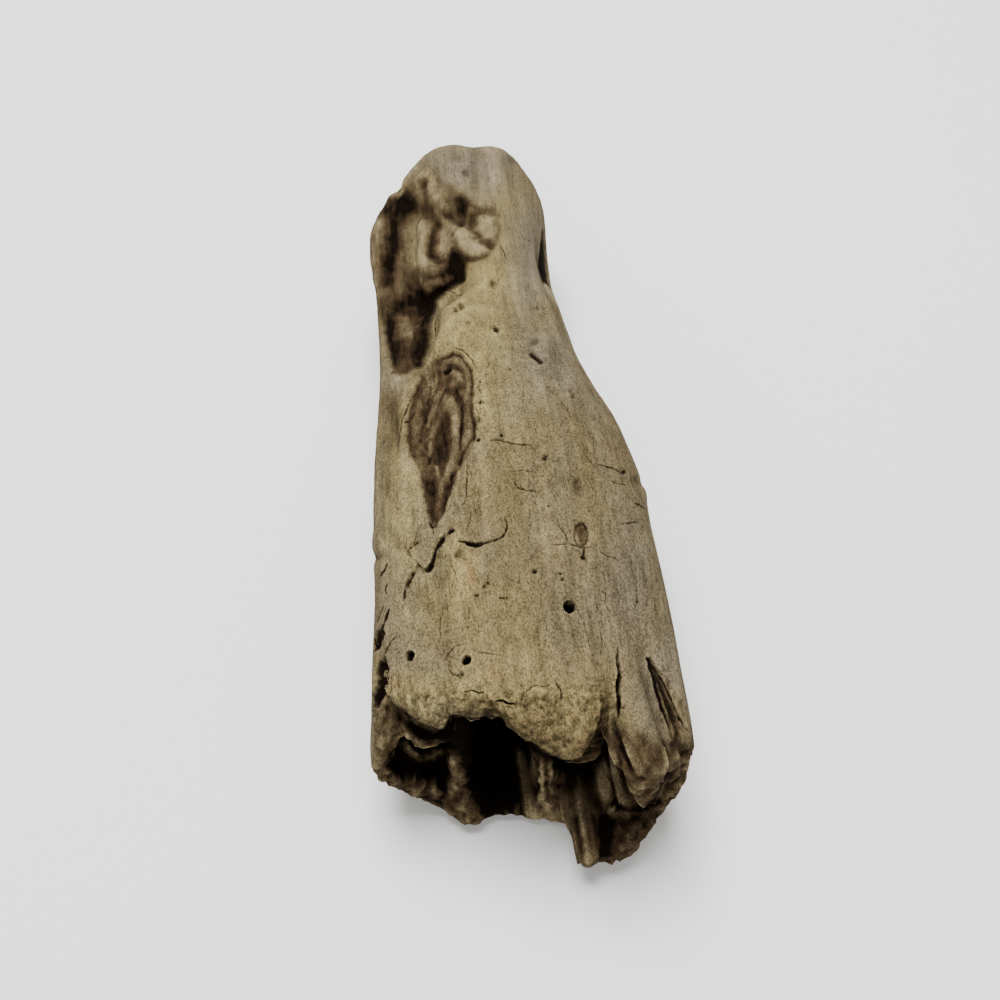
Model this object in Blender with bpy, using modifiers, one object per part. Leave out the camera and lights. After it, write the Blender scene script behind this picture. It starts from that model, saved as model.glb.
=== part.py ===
"""Piece of driftwood: one solid of weathered wood that lies on three low spots.

Metres, +Z up. The grain runs along Y: the broken, hollow end is at -Y and the worn, knotty end at +Y.
A place on the bark side is given by y and by its clock, the angle round the grain in degrees, with 0 at
the top, 90 at +X and -90 at -X. A place inside the log is given by y, its clock and its share of the way
from the pith to the bark side.
"""

import math
from typing import NamedTuple

import bpy
import numpy as np
from mathutils import Vector, noise

MM = 0.001

# Driving dimensions
LENGTH = 215 * MM
WIDTH = 73 * MM
HEIGHT = 53 * MM
BARK_SHELL = 8 * MM
HOLLOW_DEPTH = 58 * MM

# How squarely the sections are rounded: 1 is an ellipse, and less is squarer
SQUARENESS = 0.78

# Mesh of the carved form, the even size its faces are brought to, and the share of them that is kept
AROUND = 208
END_RINGS = 56
SIDE_RINGS = 170
WORN_RINGS = 26
EVEN_FACE = 0.9 * MM
KEPT_FACES = 0.051

# The section that the places inside the broken end are measured on
BREAK_Y = -0.40 * LENGTH
# How far the worn end reaches, and how bluntly it is rounded
WORN_END = 0.5 * LENGTH
WORN_BLUNTNESS = 4.0


class Station(NamedTuple):
    """A section of the log: its place along the grain, and its sides as shares of WIDTH / 2 and HEIGHT."""

    along: float
    left: float
    right: float
    bottom: float
    top: float


STATIONS = (
    Station(-0.52, -0.98, 0.90, 0.025, 0.930),
    Station(-0.44, -1.00, 0.93, 0.020, 0.945),
    Station(-0.35, -1.00, 0.95, 0.016, 0.960),
    Station(-0.23, -0.94, 0.97, 0.016, 0.990),
    Station(-0.115, -0.89, 0.97, 0.016, 1.000),
    Station(-0.037, -0.865, 0.90, 0.016, 0.995),
    Station(0.023, -0.838, 0.80, 0.018, 0.970),
    Station(0.093, -0.800, 0.715, 0.020, 0.930),
    Station(0.186, -0.780, 0.665, 0.020, 0.895),
    Station(0.279, -0.780, 0.640, 0.018, 0.885),
    Station(0.360, -0.780, 0.655, 0.018, 0.900),
    Station(0.400, -0.730, 0.665, 0.020, 0.905),
    Station(0.430, -0.640, 0.670, 0.025, 0.905),
    Station(0.465, -0.600, 0.640, 0.035, 0.905),
    Station(0.52, -0.520, 0.600, 0.050, 0.890),
)


class Rim(NamedTuple):
    """The broken end of the bark shell at one clock: how far it reaches, as a share of LENGTH, and how
    thick it is, as a share of BARK_SHELL."""

    clock: float
    reach: float
    thickness: float


RIMS = (
    Rim(-180, -0.432, 0.45),
    Rim(-171, -0.426, 0.40),
    Rim(-163, -0.432, 0.60),
    Rim(-157, -0.436, 0.90),
    Rim(-148, -0.416, 1.15),
    Rim(-138, -0.408, 1.25),
    Rim(-125, -0.404, 1.20),
    Rim(-112, -0.402, 0.95),
    Rim(-100, -0.405, 0.60),
    Rim(-88, -0.400, 0.75),
    Rim(-78, -0.392, 1.00),
    Rim(-70, -0.376, 1.15),
    Rim(-62, -0.350, 1.20),
    Rim(-55, -0.372, 1.10),
    Rim(-46, -0.388, 1.10),
    Rim(-36, -0.406, 1.10),
    Rim(-31, -0.404, 1.10),
    Rim(-28, -0.388, 1.10),
    Rim(-23, -0.403, 1.10),
    Rim(-17, -0.399, 1.15),
    Rim(-12, -0.398, 1.15),
    Rim(-8, -0.403, 1.20),
    Rim(-5, -0.416, 1.20),
    Rim(-2, -0.429, 1.20),
    Rim(1, -0.438, 1.25),
    Rim(5, -0.445, 1.30),
    Rim(9, -0.455, 1.30),
    Rim(13, -0.452, 1.30),
    Rim(17, -0.430, 1.20),
    Rim(20, -0.414, 1.10),
    Rim(22.5, -0.385, 1.00),
    Rim(25, -0.425, 1.00),
    Rim(29, -0.458, 1.10),
    Rim(36, -0.478, 1.20),
    Rim(45, -0.480, 1.30),
    Rim(55, -0.466, 1.30),
    Rim(68, -0.450, 1.20),
    Rim(82, -0.440, 1.10),
    Rim(96, -0.440, 1.00),
    Rim(110, -0.444, 1.00),
    Rim(125, -0.457, 1.00),
    Rim(136, -0.476, 1.10),
    Rim(146, -0.492, 1.10),
    Rim(154, -0.498, 1.00),
    Rim(160, -0.484, 0.90),
    Rim(166, -0.450, 0.70),
    Rim(173, -0.438, 0.60),
)

# Where the bark side ends and the rounding of the worn end begins, as (clock, share of LENGTH)
WORN_RIM = (
    (-180, 0.400),
    (-140, 0.370),
    (-110, 0.340),
    (-80, 0.335),
    (-60, 0.352),
    (-48, 0.372),
    (-38, 0.392),
    (-28, 0.414),
    (-14, 0.416),
    (4, 0.406),
    (12, 0.402),
    (28, 0.428),
    (50, 0.410),
    (80, 0.385),
    (120, 0.375),
    (150, 0.390),
)


class Bundle(NamedTuple):
    """Fibres that outlast the rot: their middle and half sizes in the section, and where they end."""

    x: float
    z: float
    half_x: float
    half_z: float
    low_end: float
    high_end: float


# Where each bundle ends at its foot and at its head, as y
BUNDLES = {
    "left_post": Bundle(-16 * MM, 20 * MM, 3.3 * MM, 22 * MM, -95 * MM, -70 * MM),
    "left_post_foot": Bundle(-16.5 * MM, 4 * MM, 5.5 * MM, 8 * MM, -95 * MM, -84 * MM),
    "left_shelf": Bundle(-24 * MM, 33 * MM, 8 * MM, 2.4 * MM, -87 * MM, -84 * MM),
    "middle_post": Bundle(2 * MM, 20 * MM, 3.2 * MM, 20 * MM, -95 * MM, -74 * MM),
    "middle_post_foot": Bundle(4 * MM, 6 * MM, 5.2 * MM, 9 * MM, -95 * MM, -84 * MM),
    "dark_web": Bundle(10 * MM, 30 * MM, 7.5 * MM, 12 * MM, -90 * MM, -84 * MM),
    "right_wall": Bundle(24 * MM, 32 * MM, 6.5 * MM, 13 * MM, -102 * MM, -94 * MM),
    "right_floor": Bundle(22 * MM, 6 * MM, 7 * MM, 8 * MM, -105 * MM, -97 * MM),
    "prong": Bundle(11 * MM, 5.5 * MM, 4.9 * MM, 6.4 * MM, -109.5 * MM, -108 * MM),
}


class Form(NamedTuple):
    """A swelling or a hollow of the bark side: its middle, half length along the grain, half width
    round it, how far it rises, how far it is turned from the grain, and how flat-topped it is."""

    y: float
    clock: float
    half_long: float
    half_wide: float
    rise: float
    turn: float = 0.0
    flat: float = 1.0


FORMS = {
    # The old branch scar on top, shaped like an eye
    "eye_hollow": Form(-15 * MM, -24, 24 * MM, 7.0 * MM, -2.2 * MM, 9, 1.8),
    "eye_core": Form(-18 * MM, -23, 14 * MM, 2.6 * MM, 1.2 * MM, 9),
    "eye_left_lip": Form(-16 * MM, -41, 22 * MM, 3.0 * MM, 0.9 * MM, 6),
    "eye_right_lip": Form(-8 * MM, -5, 20 * MM, 3.2 * MM, 0.8 * MM, 10),
    # The rotten burl, top left of the worn end
    "burl_bowl": Form(54 * MM, -22, 31 * MM, 11.5 * MM, -4.2 * MM, 8, 1.6),
    "burl_groove": Form(56 * MM, -38, 31 * MM, 2.9 * MM, -6.5 * MM, 7, 1.4),
    "burl_lens": Form(59 * MM, -21, 13 * MM, 3.2 * MM, 3.6 * MM, 8),
    "burl_slot": Form(60 * MM, -9, 9 * MM, 1.9 * MM, -4.5 * MM, 12),
    "burl_finger": Form(60 * MM, -2, 9 * MM, 2.0 * MM, 3.2 * MM, 22),
    "burl_pocket": Form(22 * MM, -31, 15 * MM, 5.0 * MM, -7.0 * MM, 13, 1.7),
    "burl_knob": Form(28 * MM, -37, 4.6 * MM, 2.5 * MM, 5.0 * MM),
    "burl_mouth": Form(44 * MM, -5, 7 * MM, 2.0 * MM, -5.2 * MM, 10),
    "burl_brow": Form(39 * MM, -15, 3.4 * MM, 7.5 * MM, -3.0 * MM, -24),
    "burl_ridge": Form(48 * MM, -62, 42 * MM, 4.5 * MM, 1.6 * MM, 3),
    "knuckle_row_a": Form(46 * MM, -13, 4.2 * MM, 3.4 * MM, 3.0 * MM),
    "knuckle_row_b": Form(42 * MM, -23, 4.6 * MM, 3.0 * MM, 2.8 * MM),
    "knuckle_ring": Form(74 * MM, -2, 6.5 * MM, 4.6 * MM, 2.4 * MM),
    "knuckle_bent": Form(55 * MM, 6, 3.6 * MM, 6.5 * MM, 2.6 * MM, 10),
    "knuckle_right": Form(63 * MM, 14, 4.5 * MM, 3.0 * MM, 2.2 * MM, -20),
    "knuckle_cross": Form(70 * MM, 10, 2.2 * MM, 5.0 * MM, 1.8 * MM),
    "knuckle_pit_a": Form(72 * MM, 1, 2.6 * MM, 2.0 * MM, -4.4 * MM),
    "knuckle_pit_b": Form(65 * MM, 6.5, 3.4 * MM, 1.6 * MM, -4.0 * MM, -12),
    "knuckle_pit_c": Form(55 * MM, 13, 2.0 * MM, 2.4 * MM, -3.4 * MM),
    # The worn end's two lobes
    "lobe_left": Form(94 * MM, -12, 11 * MM, 8.0 * MM, 1.7 * MM),
    "lobe_right": Form(95 * MM, 24, 13 * MM, 7.5 * MM, 2.6 * MM),
    "lobe_saddle": Form(94 * MM, 9, 12 * MM, 2.6 * MM, -1.6 * MM),
    # The right side
    "side_slot": Form(52 * MM, 62, 10 * MM, 3.4 * MM, -5.2 * MM, 6, 1.3),
    "small_knot": Form(10 * MM, 17, 5 * MM, 4.4 * MM, 1.1 * MM),
    "small_knot_pit": Form(9 * MM, 15, 1.6 * MM, 3.0 * MM, -1.8 * MM, 30),
    "shoulder_nick": Form(-30 * MM, 60, 3.2 * MM, 3.4 * MM, -1.6 * MM),
    "shoulder_nick_low": Form(-36 * MM, 70, 5 * MM, 2.4 * MM, -1.2 * MM),
    "torn_scar": Form(-90 * MM, 48, 17 * MM, 3.0 * MM, -3.6 * MM, -16, 1.5),
    "torn_scar_low": Form(-98 * MM, 58, 11 * MM, 3.4 * MM, -3.0 * MM, -12),
    "flank_hollow": Form(-6 * MM, 92, 34 * MM, 5.5 * MM, -2.8 * MM, 4),
    "flank_knot": Form(30 * MM, 104, 9 * MM, 5.0 * MM, 2.2 * MM),
    "flank_knot_pit": Form(31 * MM, 105, 3.2 * MM, 2.2 * MM, -3.4 * MM),
    # The left side
    "split_slot": Form(-73 * MM, -61, 11 * MM, 1.5 * MM, -3.4 * MM, 8, 1.5),
    "left_flute": Form(-30 * MM, -86, 40 * MM, 4.2 * MM, -2.4 * MM, -3),
    "left_ledge": Form(-18 * MM, -66, 30 * MM, 3.6 * MM, 1.0 * MM, 3),
    "left_flute_far": Form(42 * MM, -98, 26 * MM, 5.0 * MM, -3.0 * MM, 5),
    # The underside
    "belly_check": Form(6 * MM, 172, 52 * MM, 2.6 * MM, -3.6 * MM, 3, 1.3),
    "belly_dish": Form(10 * MM, -160, 34 * MM, 7.0 * MM, -1.6 * MM),
    "belly_knot": Form(-34 * MM, 150, 7 * MM, 5.0 * MM, -2.6 * MM),
}

# The low spots that it rests on: two under the broken end and one under the worn end
REST_SPOTS = {
    "left_spot": Form(-60 * MM, -157, 10 * MM, 5.5 * MM, 4.6 * MM),
    "right_spot": Form(-54 * MM, 157, 9 * MM, 5 * MM, 2.8 * MM),
    "worn_spot": Form(60 * MM, -178, 9 * MM, 6 * MM, 2.4 * MM),
}


class Borehole(NamedTuple):
    """A hole that a beetle or a shipworm left: its mouth and its radius."""

    y: float
    clock: float
    radius: float


BOREHOLES = {
    "round_hole": Borehole(-65 * MM, 11.4, 1.35 * MM),
    "oval_hole": Borehole(-70.5 * MM, -39.8, 1.2 * MM),
    "half_hole": Borehole(-75 * MM, -15.5, 1.1 * MM),
    "flank_hole_a": Borehole(-40 * MM, 98, 1.3 * MM),
    "flank_hole_b": Borehole(58 * MM, -112, 1.2 * MM),
    "belly_hole": Borehole(-8 * MM, -150, 1.4 * MM),
}
# Half of each borer's length is in the wood, and its tip is this share of its mouth
BOREHOLE_DEPTH = 9 * MM
BOREHOLE_TAPER = 0.72
BOREHOLE_SIDES = 10

# Slow waves of the whole surface, and the finer ridges of the grain
WAVE_HEIGHT = 1.5 * MM
WAVE_LENGTH = 46 * MM
WAVE_WIDTH = 17 * MM
RIDGE_HEIGHT = 0.55 * MM
RIDGE_LENGTH = 30 * MM
RIDGE_WIDTH = 5 * MM
# How far single fibres stand out at the hollow's floor, and how much less they do on a bundle
SPLINTER_HEIGHT = 5 * MM
SPLINTER_WIDTH = 2.6 * MM
BUNDLE_CALM = 0.28
# A bundle is worn back at its edges, and its flanks are this share of its size
BUNDLE_WEAR = 2.2 * MM
BUNDLE_FLANK = 0.5
# The hollow is shallower towards the bark shell
HOLLOW_TAPER = 0.45
# The shell's inner side, as a share of its thickness, and the rounding of its rim
SHELL_FLANK = 0.25
SHARP_RIM = 2 * MM
WORN_RIM_ROUNDING = 2.6 * MM
RIM_CRUMBLE = 1.3 * MM
CRUMB_WIDTH = 4.4 * MM
# How closely the ball's rings are packed towards the pith
RING_SPREAD = 0.85


def clear_scene():
    for found in list(bpy.data.objects):
        bpy.data.objects.remove(found)


def new_collection(name):
    made = bpy.data.collections.new(name)
    bpy.context.scene.collection.children.link(made)
    return made


def move_to(collection, moved):
    for holder in list(moved.users_collection):
        holder.objects.unlink(moved)
    collection.objects.link(moved)


def smooth_step(value):
    value = np.clip(value, 0.0, 1.0)
    return value * value * (3.0 - 2.0 * value)


def curve_through(places, values, wanted):
    """A smooth curve through the values at the places, read at the wanted places."""
    places, values = np.array(places, float), np.array(values, float)
    slopes = np.gradient(values, places)
    wanted = np.clip(wanted, places[0], places[-1])
    low = np.clip(np.searchsorted(places, wanted, side="right") - 1, 0, len(places) - 2)
    gap = places[low + 1] - places[low]
    t = (wanted - places[low]) / gap
    return (
        (2 * t**3 - 3 * t**2 + 1) * values[low]
        + (t**3 - 2 * t**2 + t) * gap * slopes[low]
        + (3 * t**2 - 2 * t**3) * values[low + 1]
        + (t**3 - t**2) * gap * slopes[low + 1]
    )


def waves(x, y, z, wide, long, seed):
    """Smooth noise from -1 to 1, drawn out along the grain."""
    return np.array(
        [
            noise.noise(Vector((a / wide + seed, b / long, c / wide - seed)))
            for a, b, c in zip(x, y, z)
        ]
    )


def section(y):
    """Middle x, half width, middle z and half height of the log at y."""
    along = [s.along * LENGTH for s in STATIONS]
    left = curve_through(along, [s.left for s in STATIONS], y) * WIDTH / 2
    right = curve_through(along, [s.right for s in STATIONS], y) * WIDTH / 2
    bottom = curve_through(along, [s.bottom for s in STATIONS], y) * HEIGHT
    top = curve_through(along, [s.top for s in STATIONS], y) * HEIGHT
    return (left + right) / 2, (right - left) / 2, (bottom + top) / 2, (top - bottom) / 2


def squared(value):
    return np.sign(value) * np.abs(value) ** SQUARENESS


def bark_side(y, clock):
    """x and z of the plain bark side, before any form is raised on it."""
    middle_x, half_wide, middle_z, half_high = section(y)
    x = middle_x + half_wide * squared(np.sin(clock))
    z = middle_z + half_high * squared(np.cos(clock))
    return x, z


def arc_between(y, clock, other):
    """The way round the bark side from the other clock to this one."""
    _, half_wide, _, half_high = section(y)
    turn = (clock - other + math.pi) % (2 * math.pi) - math.pi
    return turn * (half_wide + half_high) / 2


def rise_of(form, y, clock):
    across = arc_between(y, clock, math.radians(form.clock))
    ahead = y - form.y
    turn = math.radians(form.turn)
    u = ahead * math.cos(turn) + across * math.sin(turn)
    v = across * math.cos(turn) - ahead * math.sin(turn)
    far = (u / form.half_long) ** 2 + (v / form.half_wide) ** 2
    return form.rise * np.exp(-(far**form.flat))


def carve(x, y, z, clock):
    """Raises the forms, the waves and the grain's ridges from the bark side, outwards from the pith."""
    rise = sum(rise_of(form, y, clock) for form in FORMS.values())
    rise = rise + WAVE_HEIGHT * waves(x, y, z, WAVE_WIDTH, WAVE_LENGTH, 3.1)
    rise = rise + RIDGE_HEIGHT * waves(x, y, z, RIDGE_WIDTH, RIDGE_LENGTH, 8.7)
    rise = rise + sum(rise_of(spot, y, clock) for spot in REST_SPOTS.values())
    return x + rise * np.sin(clock), z + rise * np.cos(clock)


def round_log(clock, clocks, values):
    """The value at each clock, from values given at some clocks right round the log."""
    clocks = [math.radians(c) for c in clocks]
    closed = [*clocks, clocks[0] + 2 * math.pi], [*values, values[0]]
    return np.interp((clock + math.pi) % (2 * math.pi) - math.pi, *closed)


def rim_of(clock):
    """How far out the bark shell reaches at each clock, and how thick it is there."""
    clocks = [rim.clock for rim in RIMS]
    reach = round_log(clock, clocks, [rim.reach * LENGTH for rim in RIMS])
    thickness = round_log(clock, clocks, [rim.thickness * BARK_SHELL for rim in RIMS])
    return reach, thickness


def break_of(clock, share):
    """Where the fibre at this clock and share of the way out is broken off, as y."""
    bark_x, bark_z = bark_side(np.full_like(clock, BREAK_Y), clock)
    middle_x, _, middle_z, _ = section(np.array([BREAK_Y]))
    x = middle_x + share * (bark_x - middle_x)
    z = middle_z + share * (bark_z - middle_z)
    reach = np.hypot(bark_x - middle_x, bark_z - middle_z)
    still = np.zeros_like(x)

    splinters = waves(x, still, z, SPLINTER_WIDTH, 1.0, 5.5)
    end = BREAK_Y + HOLLOW_DEPTH * (1.0 - HOLLOW_TAPER * share**2) + SPLINTER_HEIGHT * splinters
    for bundle in BUNDLES.values():
        far = ((x - bundle.x) / bundle.half_x) ** 2 + ((z - bundle.z) / bundle.half_z) ** 2
        inside = smooth_step((1.0 - far) / BUNDLE_FLANK + 0.5)
        climb = np.clip((z - bundle.z) / (2 * bundle.half_z) + 0.5, 0.0, 1.0)
        stub = bundle.low_end + (bundle.high_end - bundle.low_end) * climb
        stub = stub + BUNDLE_CALM * SPLINTER_HEIGHT * splinters
        stub = stub + BUNDLE_WEAR * np.clip(far, 0, 1) ** 2
        end = np.where(end < stub, end, end + (stub - end) * inside)

    depth_in = (1.0 - share) * reach
    rim, thickness = rim_of(clock)
    inside = smooth_step((thickness - depth_in) / (SHELL_FLANK * thickness) + 0.4)
    bulge = np.clip((depth_in / thickness - 0.5) * 2.0, -0.98, 0.98)
    # The rim on top is worn round, and the one underneath is sharper
    rounding = SHARP_RIM + WORN_RIM_ROUNDING * (1.0 + np.cos(clock)) / 2
    lip = rim + rounding * (1.0 - np.sqrt(1.0 - bulge**2))
    lip = lip + RIM_CRUMBLE * waves(x, still, z, CRUMB_WIDTH, 1.0, 9.2)
    return end + (lip - end) * inside


def fibre_point(clock, share, y):
    """A point inside the log, on the fibre at this clock and share of the way out."""
    middle_x, _, middle_z, _ = section(y)
    x, z = bark_side(y, clock)
    x, z = carve(x, y, z, clock)
    return middle_x + share * (x - middle_x), y, middle_z + share * (z - middle_z)


def ball(name):
    """A closed ball with a pole at each end of the grain, whose rings become those of the log."""
    rings = END_RINGS + SIDE_RINGS + WORN_RINGS
    bpy.ops.mesh.primitive_uv_sphere_add(segments=AROUND, ring_count=rings, radius=1.0)
    bpy.ops.object.shade_smooth()
    made = bpy.context.object
    made.name = name
    made.data.name = name
    return made, rings


def shape_log(log, rings):
    """Moves the ball's rings: first the broken end from the pith out, then the side, then the worn end."""
    places = np.empty(len(log.data.vertices) * 3, np.float32)
    log.data.vertices.foreach_get("co", places)
    ball_x, ball_y, ball_z = places.reshape(-1, 3).astype(float).T
    ring = np.round(np.arccos(np.clip(-ball_z, -1, 1)) / math.pi * rings)
    # The ball's +Z is the worn end, so its X and Y become +X and the top without turning it inside out
    clock = np.arctan2(ball_x, ball_y)

    share = np.clip(ring / END_RINGS, 0, 1) ** RING_SPREAD
    worn = np.clip((ring - END_RINGS - SIDE_RINGS) / WORN_RINGS, 0, 1)
    share = np.where(worn > 0, np.cos(worn * math.pi / 2), share)
    broken_y = break_of(clock, share)
    side = np.clip((ring - END_RINGS) / SIDE_RINGS, 0, 1)
    clocks, shares = zip(*WORN_RIM)
    worn_rim = round_log(clock, clocks, [part * LENGTH for part in shares])
    side_y = broken_y + (worn_rim - broken_y) * side
    worn_y = worn_rim + (WORN_END - worn_rim) * np.sqrt(1.0 - np.abs(share) ** WORN_BLUNTNESS)
    y = np.where(worn > 0, worn_y, np.where(ring <= END_RINGS, broken_y, side_y))

    moved = np.stack(fibre_point(clock, share, y), axis=1)
    log.data.vertices.foreach_set("co", moved.astype(np.float32).ravel())
    log.data.update()


def drill(name, hole, cutters):
    """A cutter for one borehole, square to the bark side."""
    y, clock = np.array([hole.y]), np.array([math.radians(hole.clock)])
    x, y, z = fibre_point(clock, np.array([1.0]), y)
    mouth = Vector((x[0], y[0], z[0]))
    outwards = Vector((math.sin(clock[0]), 0.0, math.cos(clock[0])))
    bpy.ops.mesh.primitive_cone_add(
        vertices=BOREHOLE_SIDES,
        radius1=BOREHOLE_TAPER * hole.radius,
        radius2=hole.radius,
        depth=2 * BOREHOLE_DEPTH,
        location=mouth,
        rotation=outwards.to_track_quat("Z", "Y").to_euler(),
    )
    cutter = bpy.context.object
    cutter.name = name
    move_to(cutters, cutter)
    cutter.hide_render = True
    cutter.display_type = "WIRE"


def ground_cutter(cutters):
    """All that is below the surface that the log lies on."""
    bpy.ops.mesh.primitive_cube_add(size=2 * LENGTH, location=(0, 0, -LENGTH))
    cutter = bpy.context.object
    cutter.name = "ground"
    move_to(cutters, cutter)
    cutter.hide_render = True
    cutter.display_type = "WIRE"
    return cutter


def weathered_wood():
    material = bpy.data.materials.new("weathered_wood")
    material.use_nodes = True
    shader = material.node_tree.nodes["Principled BSDF"]
    shader.inputs["Base Color"].default_value = (0.38, 0.32, 0.21, 1.0)
    shader.inputs["Roughness"].default_value = 0.85
    shader.inputs["Metallic"].default_value = 0.0
    return material


def build_driftwood():
    parts = new_collection("driftwood")
    cutters = new_collection("cutters")
    log, rings = ball("driftwood")
    move_to(parts, log)
    shape_log(log, rings)
    log.data.materials.append(weathered_wood())

    even = log.modifiers.new("even_faces", "REMESH")
    even.mode = "VOXEL"
    even.voxel_size = EVEN_FACE
    even.use_smooth_shade = True
    fewer = log.modifiers.new("fewer_faces", "DECIMATE")
    fewer.ratio = KEPT_FACES
    holes = new_collection("boreholes")
    for name, hole in BOREHOLES.items():
        drill(name, hole, holes)
    bored = log.modifiers.new("bored", "BOOLEAN")
    bored.operation = "DIFFERENCE"
    bored.operand_type = "COLLECTION"
    bored.collection = holes
    flat = log.modifiers.new("rest_flats", "BOOLEAN")
    flat.operation = "DIFFERENCE"
    flat.object = ground_cutter(cutters)
    return log


def stand_on_origin(log):
    """Moves everything alike, so that the middle of the log's box is over the origin."""
    finished = log.evaluated_get(bpy.context.evaluated_depsgraph_get())
    corners = [Vector(corner) for corner in finished.bound_box]
    middle = sum(corners, Vector()) / len(corners)
    for placed in bpy.data.objects:
        placed.location -= Vector((middle.x, middle.y, 0.0))


def main():
    clear_scene()
    stand_on_origin(build_driftwood())


main()
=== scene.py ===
"""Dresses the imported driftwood: its grain, cracks, scars and rot, on a pale studio floor.

Lengths inside the functions are in millimetres, and the mesh itself is in metres. Marks on the
side that the photograph shows are placed by its pixels, in a frame of 1000 by 1000, through the
same camera.
"""

import math

import bmesh
import bpy
import numpy as np
from bpy.props import FloatProperty, FloatVectorProperty, IntProperty, PointerProperty
from bpy.types import Operator, Panel, PropertyGroup
from mathutils import Matrix, Vector, noise
from mathutils.bvhtree import BVHTree


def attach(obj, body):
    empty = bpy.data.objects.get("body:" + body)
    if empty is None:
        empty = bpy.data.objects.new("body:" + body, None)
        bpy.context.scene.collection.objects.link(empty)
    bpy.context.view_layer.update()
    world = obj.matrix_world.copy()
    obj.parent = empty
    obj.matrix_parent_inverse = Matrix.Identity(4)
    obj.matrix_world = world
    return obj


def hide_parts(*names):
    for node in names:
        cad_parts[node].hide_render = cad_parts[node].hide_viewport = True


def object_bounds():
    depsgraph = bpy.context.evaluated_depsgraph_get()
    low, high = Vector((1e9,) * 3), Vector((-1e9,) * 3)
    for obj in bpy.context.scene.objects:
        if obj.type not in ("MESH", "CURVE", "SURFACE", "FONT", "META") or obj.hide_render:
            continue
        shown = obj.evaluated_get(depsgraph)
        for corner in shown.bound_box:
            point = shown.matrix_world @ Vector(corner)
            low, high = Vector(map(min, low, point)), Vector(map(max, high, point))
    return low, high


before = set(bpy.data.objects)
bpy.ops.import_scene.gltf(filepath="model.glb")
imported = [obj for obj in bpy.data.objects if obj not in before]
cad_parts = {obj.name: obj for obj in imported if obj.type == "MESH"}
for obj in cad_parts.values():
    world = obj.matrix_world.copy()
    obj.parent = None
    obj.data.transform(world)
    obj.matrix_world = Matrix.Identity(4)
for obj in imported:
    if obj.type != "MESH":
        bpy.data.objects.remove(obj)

bl_info = {
    "name": "Driftwood piece",
    "version": (1, 0, 0),
    "blender": (4, 5, 0),
    "location": "3D View > Sidebar > Driftwood",
    "description": "Carves and finishes a weathered piece of driftwood on a studio floor",
    "category": "Add Mesh",
}

MM = 0.001
NODE = "driftwood"
CAD_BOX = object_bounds()

# The camera: what it looks at and how, in millimetres, degrees and pixels
PHOTO_SIZE = 1000
LOOK_AT = (0.2, -17.2, 25.0)
CAMERA_FAR = 285.0
CAMERA_RISE = 54.0
CAMERA_TURN = 6.4
PIXELS_PER_TANGENT = 1112.0
SENSOR = 36.0

# The lights, in metres
KEY_PLACE, KEY_SIZE = (-0.1, 0.35, 1.4), 0.9
FILL_PLACE, FILL_SIZE = (-0.4, -1.0, 0.6), 0.8

# The middle of the log's sections
PITH = (0.0, 25.0)


def pairs(*numbers):
    """Places in the photograph, out of their numbers across and down in turn."""
    return tuple(zip(numbers[::2], numbers[1::2]))


def rows(kind, *table):
    """One thing of this kind for each row of a table."""
    return tuple(kind(*row) for row in table)


class Crack:
    """A dark line in the wood: its width and depth in millimetres, and its pixels."""

    def __init__(self, width, depth, *pixels):
        self.width, self.depth, self.line = width, depth, pairs(*pixels)


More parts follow.
